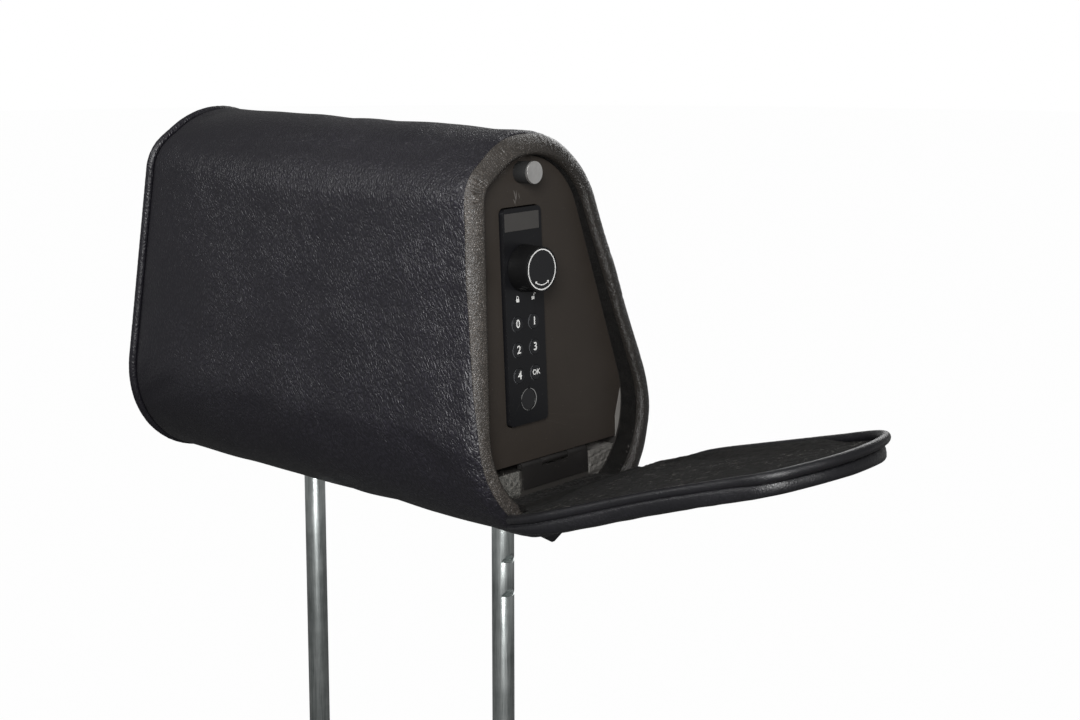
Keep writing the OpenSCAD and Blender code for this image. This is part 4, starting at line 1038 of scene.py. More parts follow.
@dataclass
class Recess:
    """Felt on the recess walls and floor, and the patches beside the hinge."""

    layout: Layout
    finishes: Finishes
    floor: float = 22.0
    felt_in: float = 12.72
    felt_clear: float = 0.34

    def lining(self) -> None:
        """Felt band: inner face, front lip, outer face and back edge, carried round the outline.

        The inner face runs from just behind the roll's lip to the door's plane, whose distance
        shrinks with height, and short noise lifts it. Low down it is set deeper by `felt_clear`,
        so that the opening door passes it.
        """
        section = self.layout.section
        u = np.arange(560) / 560
        point, out, _ = section.at(u, 0.0)
        t = np.concatenate([[0.0, 0.0, 0.0], np.linspace(0.04, 1.0, 12), [1.0, 0.6, 0.3]])
        inset = np.concatenate([[12.42, 12.5, 12.7], np.full(12, self.felt_in), [11.3, 11.3, 11.3]])
        face, backing = inset > 12.6, inset < 12.0
        lip = np.array([0.35, 0.0, 0.1] + [0.0] * 15)
        low = 1.0 - smooth(point[:, 1:], 34.0, 58.0)
        deep = inset[None] - np.where(face, self.felt_clear, 0.0)[None] * low
        yz = point[:, None] - deep[..., None] * out[:, None]
        front = section.near(yz[..., 1], -4.0 - lip[None])
        back = self.layout.door.base + 0.25 - yz[..., 1] * math.tan(math.radians(self.layout.door.lean))
        back = np.minimum(back, section.near(yz[..., 1], -6.6))
        behind = section.near(yz[..., 1], -6.7)
        x = np.where(backing[None], np.minimum(behind, back + (behind - back) * (1 - t[None])),
                     front + (back - front) * t[None])
        nap = 0.10 * ripple(x, u[:, None] * section.girth, 31, 14, 1.6, 6.0)
        yz = yz + np.where(face[None], np.clip(nap, -0.3, 0.07), 0.0)[..., None] * -out[:, None]
        # the wall felt is darkened as painted shade in the recess
        band = hoop("recess_felt", np.concatenate([x[..., None], yz], -1), self.finishes.shaded_wall_felt, 50.0)
        settle(band, Body.HEADREST, "felt", "recess_lining")
        wide, long = np.abs(front - back).max(1), section.girth - TAU * 12.7
        cut(band, float(wide.max()), long)

    def sill(self) -> None:
        """Felt pad on the recess floor: a level top with a matted nap over the curved wall.

        Its section is the outline, set in, below a level, closed by a straight top; the path
        runs from the roll to the door's plane.
        """
        section = self.layout.section
        u = np.linspace(0.0, 1.0, 4000, endpoint=False)
        point, _, _ = section.at(u, 13.2)
        low = point[point[:, 1] < self.floor]
        low = low[np.argsort(low[:, 0])]
        wide = np.linspace(low[0, 0], low[-1, 0], 120)
        bottom = np.stack([wide, np.interp(wide, low[:, 0], low[:, 1])], -1)
        top = np.stack([wide[::-1], np.full(120, self.floor)], -1)
        loop = np.concatenate([bottom, top[1:-1]])
        t = np.linspace(0.0, 1.0, 26)
        front = section.near(loop[:, 1], -1.8)
        back = self.layout.door.base + 0.4 - loop[:, 1] * math.tan(math.radians(self.layout.door.lean))
        x = front[None] + (back - front)[None] * t[:, None]
        yz = np.broadcast_to(loop, (26, len(loop), 2)).copy()
        upper = np.arange(len(loop)) >= 120
        nap = 0.22 * ripple(x, yz[..., 0], 32, 16, 1.5, 7.0) - 0.35
        nap = nap + 0.25 * ripple(x, yz[..., 0], 33, 6, 14.0, 40.0)
        yz[..., 1] += np.where(upper[None], np.minimum(nap, 0.0), 0.0)
        pad_felt = tube("sill_felt", np.concatenate([x[..., None], yz], -1), self.finishes.felt, 50.0)
        settle(pad_felt, Body.HEADREST, "felt", "sill_pad", fill=0.9)

    def patch(self, name: str, low_y: float | None, high_y: float | None, seed: int,
              material: bpy.types.Material) -> bpy.types.Object:
        """A thin patch on the plate beside the hinge, from a straight end to the curved wall.

        Rows run up the plate and columns from one end to the other; the thickness is a plateau
        that falls off at the border, roughened by noise.

        Args:
            name: the piece's name.
            low_y: its straight front end, or None where it meets the front wall.
            high_y: its straight rear end, or None where it meets the rear wall.
            seed: which noise.
            material: its finish.

        Returns:
            The new object.
        """
        section = self.layout.section
        u = np.linspace(0.0, 1.0, 4000, endpoint=False)
        point, _, _ = section.at(u, 13.3)
        s = np.linspace(22.5, 35.6, 44)
        rear = point[(u < 0.3) & (point[:, 0] > -15)]
        front = point[(u > 0.6) & (point[:, 0] < -15)]
        edge = (np.interp(s, front[::-1, 1], front[::-1, 0]), np.interp(s, rear[:, 1], rear[:, 0]))
        left = edge[0] if low_y is None else np.full_like(s, low_y)
        right = edge[1] if high_y is None else np.full_like(s, high_y)
        v = np.linspace(0.0, 1.0, 56)
        y = left[:, None] + (right - left)[:, None] * v
        rows = np.broadcast_to(s[:, None], y.shape)
        from_ends, from_sides = np.minimum(v, 1 - v) * 14.0, np.minimum(s - s[0], s[-1] - s) / 1.4
        plateau = smooth(np.minimum(from_ends, from_sides[:, None]), 0.0, 1.0)
        tall = np.clip(0.12 + plateau * (0.62 + 0.3 * ripple(rows, y, seed, 18, 1.4, 8.0)), 0.1, 1.35)
        top = self.layout.door.lift(y, rows, tall)
        under = self.layout.door.lift(y, rows, np.full_like(y, 0.02))
        loop = np.concatenate([top, under[:, ::-1]], 1)
        return tube(name, loop, material, 60.0)

    def build(self) -> None:
        """Makes all felt of the recess and the lint on it."""
        self.lining()
        self.sill()
        patches = (("glue_patch_front", None, -41.9, 41, self.finishes.residue),
                   ("felt_patch_rear", 12.9, None, 42, self.finishes.tape))
        for name, low_y, high_y, seed, finish in patches:
            settle(self.patch(name, low_y, high_y, seed, finish), Body.HEADREST, "felt", "felt_patches")
        self.lint()

    def lint(self) -> None:
        """Grey lint on the floor and pale fuzz on the glue patch."""
        rng = np.random.default_rng(51)
        floor, glue, on_floor, on_glue = Fibres(52), Fibres(53), 420, 260
        y = rng.uniform(-52.0, 20.0, on_floor)
        x = rng.uniform(0.0, 1.0, on_floor) * 12.0 + 133.5
        floor.scatter(np.stack([x, y, np.full(on_floor, self.floor - 0.25)], -1), np.array([1.0, 0, 0]),
                      np.array([0, 0, 1.0]), (1.5, 5.0), 0.04, 0.7)
        s = rng.uniform(23.5, 34.5, on_glue)
        tilt = math.radians(self.layout.door.lean)
        roots = self.layout.door.lift(rng.uniform(-66.0, -43.0, on_glue), s, np.full(on_glue, 0.9))
        corner_y, corner_z, radius = self.layout.section.corners[3]
        half = np.sqrt(np.maximum(0.0, (radius - 14.0) ** 2 - (corner_z - roots[:, 2]) ** 2))
        glue.scatter(roots[roots[:, 1] > corner_y - half], np.array([0, 1.0, 0]),
                     np.array([math.cos(tilt), 0.0, math.sin(tilt)]), (1.2, 4.0), 0.045, 0.6)
        settle(floor.build("floor_lint", self.finishes.dark_lint), Body.HEADREST, "felt")
        settle(glue.build("glue_fuzz", self.finishes.lint), Body.HEADREST, "felt")


@dataclass
class FarEnd:
    """The far end: a crowned leather panel inside a corded welt."""

    layout: Layout
    finishes: Finishes
    cord: float = 2.6
    crown: float = 4.4
    middle: tuple[float, float] = (-22.0, 98.0)

    def panel(self, padding: Padding) -> None:
        """The panel as rings: set in as far as the corners allow, then shrunk to the middle."""
        section = self.layout.section
        u = np.arange(300) / 300
        inset = np.array([1.7, 3.6, 4.3, 4.8, 5.6, 6.8, 8.5, 11.0, 14.0, 17.5, 20.5])
        height = np.array([-4.9, -3.6, -1.8, -0.6, 0.2, 0.9, 1.6, 2.35, 3.0, 3.5, 3.8])
        point, out, _ = section.at(u, 0.0)
        edge = point[:, None] - inset[None, :, None] * out[:, None]
        shrink = np.linspace(0.92, 0.06, 22)
        middle = np.array(self.middle)
        inner = middle + (edge[:, -1:] - middle) * shrink[None, :, None]
        front = np.concatenate([edge, inner], 1)
        tall = np.concatenate([height, height[-1] + (self.crown - height[-1]) * (1 - shrink ** 2)])
        back = middle + (edge[:, :1] - middle) * np.array([0.98, 0.5, 0.06])[None, :, None]
        yz = np.concatenate([front[:, ::-1], back], 1)
        h = np.concatenate([tall[::-1], [-5.1, -5.1, -5.1]])
        girth = u[:, None] * section.girth
        free = np.concatenate([np.ones(len(tall) - 3), np.zeros(6)])
        waves = 0.25 * ripple(yz[..., 0], yz[..., 1], 61, 9, 22.0, 80.0)
        gather = 0.16 * ripple(girth, np.zeros(1), 62, 12, 3.5, 9.0) * np.exp(-(h / 1.2) ** 2)[None]
        height = h[None] + (waves + gather) * free[None]
        x = -section.near(yz[..., 1], height)
        panel = pad("far_panel_leather", np.concatenate([x[..., None], yz], -1), self.finishes.leather, 60.0)
        padding.puff(panel, np.broadcast_to(1.0 - free, x.shape).reshape(-1), 0.8, len(u))
        settle(panel, Body.HEADREST, "leather", "far_panel", fill=0.85)

    def welt(self) -> None:
        """The cord: a round section carried round the outline, puckered by its stitches."""
        section = self.layout.section
        u = np.arange(480) / 480
        point, out, _ = section.at(u, 0.0)
        turn = np.arange(14) * TAU / 14
        girth = u[:, None] * section.girth
        radius = self.cord * (1.0 - 0.035 * np.abs(ripple(girth, 2.0 * turn[None], 63, 12, 2.5, 6.0)))
        inset, height = 1.4 - radius * np.cos(turn), -1.3 + radius * np.sin(turn)
        yz = point[:, None] - inset[..., None] * out[:, None]
        x = -section.near(yz[..., 1], height)
        welt = hoop("far_welt", np.concatenate([x[..., None], yz], -1), self.finishes.leather, 70.0)
        settle(welt, Body.HEADREST, "leather", "far_piping")

    def build(self, padding: Padding) -> None:
        """Makes the far end."""
        self.panel(padding)
        self.welt()


@dataclass
class Flap:
    """The open flap: leather pad, corded edge, felt face, fold and tape.

    It is laid out closed and then turned open. `rise` lifts the far side, `beak` pushes the tip
    outwards, and `worn` is how far round the knob's place the felt has lost its fibres.
    """

    layout: Layout
    finishes: Finishes
    base: float = 26.27
    around: int = 380
    cord: float = 2.6
    cord_h: float = 4.3
    cord_inset: float = 3.3
    cover_h: float = 5.9
    cover_t: float = 7.85
    felt_h: float = 5.8
    rise: float = 1.5
    beak: float = 3.6
    thread: float = 0.26
    worn: float = 18.0
    strike: tuple[float, float, float] = (-33.0, 190.5, 8.0)
    middle: tuple[float, float] = (-22.0, 104.0)

    def place(self, yz: np.ndarray, height: np.ndarray | float) -> np.ndarray:
        """Points of the closed flap for section points and heights, turned open."""
        raised = self.far(yz[..., 0]) * (1.0 - smooth(height, 7.2, 11.5))
        x = self.layout.section.near(yz[..., 1], height + self.sag(yz) - raised)
        return self.layout.open_flap(np.concatenate([x[..., None], yz], -1))

    def far(self, y: np.ndarray) -> np.ndarray:
        """How far the felt face is lifted towards the rear side."""
        return self.rise * smooth(y, -62.0, 5.0)

    def sag(self, yz: np.ndarray) -> np.ndarray:
        """How far the pad droops outward: most at the front edge by the fold, none past halfway."""
        return 2.5 * smooth(-yz[..., 0], 10.0, 75.0) * (1.0 - smooth(yz[..., 1], 40.0, 135.0))

    def rings(self, around: int, inset: np.ndarray, shrink: np.ndarray) -> np.ndarray:
        """Rings set in from the outline, its low part cut off straight, then shrunk to the middle.

        A point below the base line is lifted onto it, and the line rises with the inset.

        Args:
            around: points round each ring.
            inset: how far each outer ring lies inside the outline.
            shrink: size of each inner ring as a share of the innermost outer one.

        Returns:
            (y, z) points, round the outline first.
        """
        point, out, _ = self.layout.section.at(np.arange(around) / around, 0.0)
        edge = point[:, None] - inset[None, :, None] * out[:, None]
        edge[..., 1] = np.maximum(edge[..., 1], self.base + inset[None])
        middle = np.array(self.middle)
        inner = middle + (edge[:, -1:] - middle) * shrink[None, :, None]
        return np.concatenate([edge, inner], 1)

    def towards_middle(self, ring: np.ndarray, shares: list[float]) -> np.ndarray:
        """Smaller copies of a ring round the flap's middle, one for each share."""
        return np.array(self.middle) + (ring - np.array(self.middle)) * np.array(shares)[None, :, None]

    def cover(self, padding: Padding) -> None:
        """The leather pad: a band with a round edge and a slightly crowned back.

        The band is thinned at its front corner by the fold.
        """
        inset = np.array([6.0, 4.2, 3.0, 1.9, 1.0, 0.45, 0.2, 0.15, 0.3, 0.7, 1.4, 2.6, 4.4, 7.5, 12.0, 17.0])
        share = np.array([0.11, 0.03, 0.0, 0.02, 0.08, 0.18, 0.32, 0.5, 0.68, 0.82, 0.91, 0.965, 0.99]
                         + [1.0] * 3)
        shrink = np.linspace(0.9, 0.06, 16)
        grid = self.rings(self.around, inset, shrink)
        yz = np.concatenate([self.towards_middle(grid[:, :1], [0.06, 0.5, 0.97]), grid], 1)
        h = self.cover_h + self.cover_t * np.concatenate([[0.14, 0.14, 0.13], share, 1.0 - 0.02 * shrink])
        thin = smooth(-yz[..., 0], 18.0, 70.0) * (1.0 - smooth(yz[..., 1], 30.0, 74.0))
        h = h[None] - 2.6 * thin * smooth(h, 6.0, 11.0)[None]
        girth = np.arange(self.around)[:, None] / self.around * self.layout.section.girth
        free = np.concatenate([np.zeros(6), np.ones(h.shape[1] - 6)])
        gather = 0.13 * ripple(girth, h * 0.6, 71, 12, 3.0, 9.0) * np.exp(-((h - 8.0) / 2.2) ** 2)
        waves = 0.16 * ripple(yz[..., 0], yz[..., 1], 72, 8, 20.0, 70.0) * (h > 12.5)
        points = self.place(yz, h - (gather + np.abs(waves)) * free[None])
        cover = pad("flap_leather", points, self.finishes.flap_back, 60.0)
        padding.puff(cover, np.broadcast_to(1.0 - free, yz.shape[:2]).reshape(-1), 0.55, len(yz))
        settle(cover, Body.FLAP, "leather", "flap_cover", fill=0.8)

    def span(self, lift: float) -> tuple[float, float]:
        """Shares of the outline at which the corded edge starts and ends, `lift` above the base."""
        u = np.linspace(0.0, 1.0, 6000)
        point, _, _ = self.layout.section.at(u, 4.2)
        high = u[point[:, 1] > self.base + lift]
        return high[0], high[-1]

    def bow(self, inset: np.ndarray, height: np.ndarray, stations: int, lift: float) -> np.ndarray:
        """A section carried over the outline from the rear base to the front base.

        Args:
            inset: inset of each section point, per station.
            height: height of each section point.
            stations: how many places along the outline.
            lift: how far above the base line the ends stay.

        Returns:
            Points of the open flap, along the outline first.
        """
        u = np.linspace(*self.span(lift), stations)
        point, out, _ = self.layout.section.at(u, 0.0)
        inset = inset - self.beak * smooth(point[:, 1:], 166.0, 200.0)
        return self.place(point[:, None] - inset[..., None] * out[:, None], height)

    def edge(self) -> None:
        """The corded edge, faintly puckered where the stitches pull it."""
        stations, length = 460, 460.0
        turn = np.arange(20) * TAU / 20
        run = np.linspace(0.0, length, stations)[:, None]
        radius = self.cord * (1.0 - 0.02 * np.abs(ripple(run, 2.0 * turn[None], 73, 12, 2.0, 7.0)))
        radius = radius * np.sqrt(np.clip(np.minimum(run, length - run) / 2.0, 0.05, 1.0))
        sunk = 1.0 - smooth(run, 6.0, 42.0)
        radius = radius * (1.0 - 0.2 * sunk)
        level = self.cord_h + 2.1 * sunk + radius * np.sin(turn)
        grid = self.bow(self.cord_inset - radius * np.cos(turn), level, stations, 0.2)
        settle(tube("flap_cord", grid, self.finishes.flap, 70.0), Body.FLAP, "leather", "flap_piping")

    def stitches(self) -> None:
        """The stitch line: short round-ended threads in the groove between cord and band."""
        count = 118
        centre = (np.arange(count) + 0.5) / count
        local = np.linspace(-1.0, 1.0, 5)
        turn = np.arange(6) * TAU / 6
        first, last = self.span(2.0)
        along = first + (last - first) * (centre[:, None] + local[None] * 0.36 / count)
        spine, out, _ = self.layout.section.at(along.reshape(-1), 0.0)
        thin = np.tile(self.thread * np.sqrt(np.clip(1.06 - local ** 4, 0.05, 1.0)), count)
        inset = 1.7 - thin[:, None] * np.cos(turn)
        height = 6.75 + thin[:, None] * np.sin(turn)
        ring = self.place(spine[:, None] - inset[..., None] * out[:, None], height).reshape(count, -1, 3)
        around = len(turn)
        starts = np.arange(count)[:, None, None] * len(local) * around
        side = (starts + quads(len(local), around, False, True)[None]).reshape(-1, 4)
        ring_order = np.arange(around)
        caps = np.stack([ring_order[::-1], (len(local) - 1) * around + ring_order])
        caps = (starts + caps[None]).reshape(-1, around)
        thread = put_mesh("flap_stitches", ring.reshape(-1, 3), [side, caps], self.finishes.thread)
        settle(thread, Body.FLAP, "leather")

    def felt(self) -> None:
        """The felt face, with a matted nap and a soft swelling over the strike plate."""
        inset = np.concatenate([[4.6, 4.5], np.linspace(5.2, 20.0, 26)])
        shrink = np.linspace(0.97, 0.02, 60)
        grid = self.rings(420, inset, shrink)
        grid[..., 1] -= 3.2 * smooth(grid[..., 1], 182.0, 208.0)
        rest = self.felt_h + 0.35
        nap = 0.16 * ripple(grid[..., 0], grid[..., 1], 74, 18, 1.8, 8.0)
        nap = nap + 0.1 * ripple(grid[..., 0], grid[..., 1], 75, 8, 15.0, 60.0)
        strike_y, strike_z, radius = self.strike
        reach = np.hypot(grid[..., 0] - strike_y, grid[..., 1] - strike_z + 0.4)
        swell = (1.0 - smooth(reach, radius - 2.5, radius + 3.0)) * 0.5
        inside = np.concatenate([inset, np.full(len(shrink), 24.0)])[None]
        edge = (1.0 - smooth(inside, 9.0, 23.0)) * (1.0 - smooth(grid[..., 1], 150.0, 176.0))
        foot = 1.0 - smooth(grid[..., 1], 44.0, 84.0)
        rise = 3.4 * np.maximum(edge, 0.6 * foot)
        h = np.maximum(rest - nap * (reach > 6.0) - swell, 5.2) - rise
        h[:, 0] = 6.9
        h[:, 1] = np.minimum(h[:, 1] + 1.2, 6.8)
        under = self.towards_middle(grid[:, :1], [0.99, 0.06])
        yz = np.concatenate([grid[:, ::-1], under], 1)
        h = np.minimum(h[:, ::-1], 6.3 - self.sag(grid[:, ::-1]))
        h = np.concatenate([h, np.full((len(h), 2), 6.95)], 1)
        felt = pad("flap_felt_face", self.place(yz, h), self.finishes.felt, 60.0)
        settle(felt, Body.FLAP, "felt", "flap_felt", "flap_strike")
        rim, after = grid[:, 0], np.roll(grid[:, 0], -1, 0)
        area = abs(float((rim[:, 0] * after[:, 1] - rim[:, 1] * after[:, 0]).sum())) / 2
        cut(felt, float(np.ptp(rim[:, 0])), float(np.ptp(rim[:, 1])))

    def fold(self) -> None:
        """The fold: a round and a tongue in one closed section, run across the headrest.

        The section shrinks a little at both ends, and the tongue follows the pad's droop.
        """
        round_part = arc((self.layout.fold_up, self.layout.fold_out), 2.1, 35.0, 325.0, 26)
        loop = np.concatenate([[(36.3, 4.7), (36.3, 5.6), (31.0, 5.72), (26.5, 5.5)], round_part,
                               [(26.2, 3.4), (28.0, 4.5)]])
        y = np.linspace(-62.3, 33.3, 130)
        s = np.broadcast_to(loop[:, 0], (len(y), len(loop)))
        h = np.broadcast_to(loop[:, 1], s.shape)
        ease = 0.1 * ripple(y[:, None], 4.0 * s, 76, 10, 4.0, 26.0)
        ends = np.clip(np.minimum(y - y[0], y[-1] - y) / 2.0, 0.0, 1.0)[:, None] ** 0.5
        centre_s, centre_h = 26.0, 4.2
        shrink = 0.9 + 0.1 * ends
        pts = self.layout.rim.lift(y[:, None], centre_s + (s - centre_s) * shrink,
                                   centre_h + (h - centre_h) * shrink - np.abs(ease) * (h > 5.0))
        droop = self.sag(pts[..., 1:]) * smooth(s, 25.0, 35.0)
        pts = pts + droop[..., None] * np.array([1.0, 0.0, 0.1])
        fold = tube("flap_fold_leather", self.layout.open_flap(pts), self.finishes.felt, 50.0)
        settle(fold, Body.FLAP, "leather", "flap_fold")
        cut(fold, 95.6, 17.0)

    def tape(self) -> None:
        """The tape that is stuck under the fold: a thin flat section run across the headrest."""
        y = np.linspace(-52.3, 23.3, 90)
        section = np.array([(8.7, 0.25), (12.0, 0.22), (16.0, 0.22), (20.0, 0.22), (23.8, 0.25),
                            (23.8, 0.8), (20.0, 0.86), (16.0, 0.86), (12.0, 0.84), (8.7, 0.55)])
        up, out = section.T
        lift = 0.03 * ripple(y[:, None], up[None], 77, 8, 5.0, 20.0) * (out > 0.4)
        tape = tube("fold_tape", self.layout.rim.lift(y[:, None], up, out + lift), self.finishes.flap, 50.0)
        settle(tape, Body.HEADREST, "leather", "hinge_tape")
        cut(tape, 75.6, 15.1)

    def lint(self) -> None:
        """Grey lint and dark stray fibres on the felt face, none where the knob presses on it."""
        rng = np.random.default_rng(81)
        hub = self.layout.door.at(self.layout.lock_y, self.layout.knob_s).origin
        for name, count, finish, thick, seed in (("flap_lint", 230, self.finishes.lint, 0.03, 82),
                                                 ("flap_nap", 1100, self.finishes.dark_lint, 0.035, 83)):
            y, z = rng.uniform(-80.0, 44.0, count), rng.uniform(34.0, 190.0, count)
            taper = np.maximum(z - 120.0, 0.0)
            keep = (y > -76.0 + 0.12 * taper) & (y < 30.0 - 0.35 * taper) & (z < 186.0)
            keep &= np.hypot(y - hub[1], z - hub[2]) > self.worn
            fibres = Fibres(seed)
            yz = np.stack([y, z], -1)[keep]
            foot = 2.04 * (1.0 - smooth(yz[:, 1], 44.0, 84.0))
            height = self.felt_h + 0.22 + self.sag(yz) - foot - self.far(yz[:, 0])
            x = self.layout.section.near(yz[:, 1], height)
            tilt = math.radians(self.layout.section.lean)
            fibres.scatter(np.concatenate([x[:, None], yz], -1), np.array([0.0, 1.0, 0.0]),
                           np.array([-math.cos(tilt), 0.0, -math.sin(tilt)]), (1.2, 5.5), thick, 0.5)
            settle(fibres.build(name, finish, self.layout.open_flap), Body.FLAP, "felt")

    def build(self, padding: Padding) -> None:
        """Makes the flap."""
        self.cover(padding)
        self.edge()
        self.stitches()
        self.felt()
        self.fold()
        self.tape()
        self.lint()


# ---------------------------------------------------------------- lock, door and metal


class Icon(Enum):
    """Signs printed on the lock plate."""

    LOCKED = "locked"
    OPEN = "open"


@dataclass
class LockPanel:
    """Marks on the lock plate, its keys and its knob, painted highlights on the keys' rims, glints on the
    sensor and rubs on the door.
    """

    layout: Layout
    finishes: Finishes
    face: float = 2.0
    key_face: float = 2.1
    key_gap: float = 6.3
    rows: tuple[float, ...] = (113.0, 99.5, 86.0)
    icon_row: float = 125.9
    sensor_s: float = 72.7
    thick: float = 0.045
    knob_top: float = 14.6

    def band(self, outer: np.ndarray, inner: np.ndarray, seat: Seat, up: float) -> np.ndarray:
        """Points of a band between two lines of equal length, one thickness high.

        Its section at each point is the rectangle from the outer line to the inner one.
        """
        rim = np.stack([outer, inner, inner, outer], 1)
        return seat.lift(rim[..., 0], rim[..., 1], np.array([up, up, up + self.thick, up + self.thick]))

    def prism(self, name: str, outer: np.ndarray, inner: np.ndarray, seat: Seat, up: float,
              ink: bpy.types.Material) -> bpy.types.Object:
        """A band between two closed lines."""
        return hoop(name, self.band(outer, inner, seat, up), ink, 30.0)

    def ribbon(self, name: str, line: np.ndarray, width: float | np.ndarray, seat: Seat, up: float,
               ink: bpy.types.Material) -> bpy.types.Object:
        """A pen stroke: an open line offset both ways along its normal by half its width."""
        way = np.gradient(line, axis=0)
        way /= np.linalg.norm(way, axis=1, keepdims=True)
        side = np.stack([-way[:, 1], way[:, 0]], -1) * (np.asarray(width) / 2).reshape(-1, 1)
        return tube(name, self.band(line + side, line - side, seat, up), ink, 30.0)

    def glyph(self, name: str, text: str, size: float, seat: Seat, up: float,
              ink: bpy.types.Material) -> bpy.types.Object:
        """Digits and the confirm mark: outlines filled, thickened and lifted onto their seat.

        Args:
            name: the piece's name.
            text: what is printed.
            size: height of its type in millimetres.
            seat: where its middle is.
            up: height of the face it is printed on.
            ink: its finish.

        Returns:
            The new object.
        """
        curve = bpy.data.curves.new(name, "FONT")
        curve.body, curve.size = text, size
        curve.align_x, curve.align_y = "CENTER", "CENTER"
        curve.extrude, curve.resolution_u, curve.offset = self.thick / 2, 4, size * 0.014
        sketch = bpy.data.objects.new(name + "_sketch", curve)
        bpy.context.scene.collection.objects.link(sketch)
        graph = bpy.context.evaluated_depsgraph_get()
        solid = bpy.data.meshes.new_from_object(sketch.evaluated_get(graph))
        flat = np.empty(len(solid.vertices) * 3)
        solid.vertices.foreach_get("co", flat)
        flat = flat.reshape(-1, 3)
        polygons = [tuple(p.vertices) for p in solid.polygons]
        faces = [np.array([p for p in polygons if len(p) == n]) for n in sorted({len(p) for p in polygons})]
        bpy.data.objects.remove(sketch)
        bpy.data.meshes.remove(solid)
        points = seat.lift(flat[:, 0], flat[:, 1], flat[:, 2] + up + self.thick / 2)
        return put_mesh(name, points, faces, ink, 30.0)

    def padlock(self, icon: Icon, across: float, up_plate: float) -> None:
        """A padlock sign: a rounded box with a bow that is shut, or swung to one side."""
        seat, small, ink = self.layout.door.at(across, up_plate), 0.8, self.finishes.ink
        line = arc((0.0, 1.15), 0.85, 0.0 if icon is Icon.LOCKED else 25.0, 180.0, 16)
        foot = np.array([(-0.85, 1.0), (-0.85, 0.3)])
        if icon is Icon.LOCKED:
            line = np.concatenate([[(0.85, 0.3), (0.85, 0.9)], line[1:], foot])
        else:
            line = np.concatenate([line, foot]) + np.array([1.7, 0.15])
        bow = self.ribbon(f"bow_{icon.value}", line * small, 0.34, seat, self.face, ink)
        settle(bow, Body.DOOR, "panel_plastic")
        corners = ((1.05, 0.0, 0.0), (-1.05, 0.0, 90.0), (-1.05, -1.5, 180.0), (1.05, -1.5, 270.0))
        corner = np.concatenate([arc((x, y), 0.3, turn, turn + 90.0, 5) for x, y, turn in corners])
        middle = np.array([0.0, -0.75])
        hole = middle + (corner - middle) * 0.12
        box = self.prism(f"box_{icon.value}", corner * small, hole * small, seat, self.face, ink)
        settle(box, Body.DOOR, "panel_plastic")

    def keys(self) -> None:
        """A pale arc on the left of each key's rim, a painted highlight, and its digit a little right of the
        middle.
        """
        marks = ("0", "1", "2", "3", "4", "OK")
        for number, mark in enumerate(marks):
            row, column = divmod(number, 2)
            body, side = f"key_{mark.lower()}", 2.0 * column - 1.0
            seat = self.layout.door.at(self.layout.lock_y + side * self.key_gap, self.rows[row])
            width = 0.3 * np.sin(np.linspace(0.25, math.pi - 0.25, 26))
            # painted highlight on the left side of the key's rim
            rim = self.ribbon(f"{body}_rim", arc((0.0, 0.0), 4.3, 115.0, 245.0, 26), width, seat, self.face,
                              self.finishes.key_rim_highlight)
            settle(rim, Body.DOOR, "panel_plastic")
            glyph = self.glyph(f"{body}_mark", mark, 3.9 if len(mark) > 1 else 6.0,
                               seat.at(seat.across + 0.3, seat.up), self.key_face, self.finishes.ink)
            settle(glyph, body, "key_plastic")

    def knob(self) -> None:
        """A thin white ring near the knob's edge and a small curved arrow at its foot."""
        seat = self.layout.door.at(self.layout.lock_y, self.layout.knob_s)
        high, ink = self.knob_top, self.finishes.ink
        angle = np.arange(128) * TAU / 128
        circle = np.stack([np.cos(angle), np.sin(angle)], -1)
        ring = self.prism("knob_ring", circle * 10.6, circle * (10.6 - 0.62), seat, high, ink)
        settle(ring, Body.KNOB, "panel_plastic")
        radius, left, right = 7.9, 236.0, 300.0
        sweep = self.ribbon("knob_arrow", arc((0.0, 0.0), radius, left, right, 28), 0.5, seat, high, ink)
        settle(sweep, Body.KNOB, "panel_plastic")
        for name, start, length in (("knob_arrow_left", left, -10.0), ("knob_arrow_right", right, 10.0)):
            tip = arc((0.0, 0.0), radius, start, start + length, 2)
            line = np.linspace(tip[0], tip[1], 5)
            head = self.ribbon(name, line, np.linspace(1.7, 0.12, 5), seat, high, ink)
            settle(head, Body.KNOB, "panel_plastic")

    def sensor(self) -> None:
        """Fine bright arcs on the finger sensor's ring."""
        seat = self.layout.door.at(self.layout.lock_y, self.sensor_s)
        for number, (start, end) in enumerate(((95.0, 175.0), (185.0, 275.0), (285.0, 440.0))):
            line = arc((0.0, 0.0), 5.75, start, end, 30)
            fade = np.sqrt(np.clip(np.sin(np.linspace(0.05, math.pi - 0.05, 30)), 0.02, 1.0))
            width = (0.3 + 0.2 * (number == 2)) * fade
            glint = self.ribbon(f"ring_glint_{number}", line, width, seat, 2.2, self.finishes.chrome)
            settle(glint, Body.DOOR, "ring_chrome")

    def scuffs(self) -> None:
        """Short pale rub marks on the door under the catch: slightly bent tapering strokes."""
        seat = self.layout.door.at(-33.0, 191.0)
        t = np.linspace(0.0, 1.0, 12)
        taper = np.sin(math.pi * np.clip(t, 0.06, 0.94))
        for number, (across, up, long, lean, wide) in enumerate(
                ((-5.6, -8.8, 5.2, 0.25, 0.8), (-3.4, -9.2, 6.4, -0.18, 0.55),
                 (-6.2, -13.4, 3.0, 0.5, 0.6), (-1.9, -10.6, 3.4, 0.1, 0.4))):
            line = np.stack([across + lean * long * t + 0.3 * np.sin(3.0 * t), up - long * t], -1)
            mark = self.ribbon(f"scuff_{number}", line, wide * taper, seat, 0.03, self.finishes.scuff)
            settle(mark, Body.DOOR, "safe_steel")

    def build(self) -> None:
        """Makes all marks."""
        self.scuffs()
        self.keys()
        self.padlock(Icon.LOCKED, self.layout.lock_y - 5.6, self.icon_row)
        self.padlock(Icon.OPEN, self.layout.lock_y + 6.2, self.icon_row)
        self.knob()
        self.sensor()


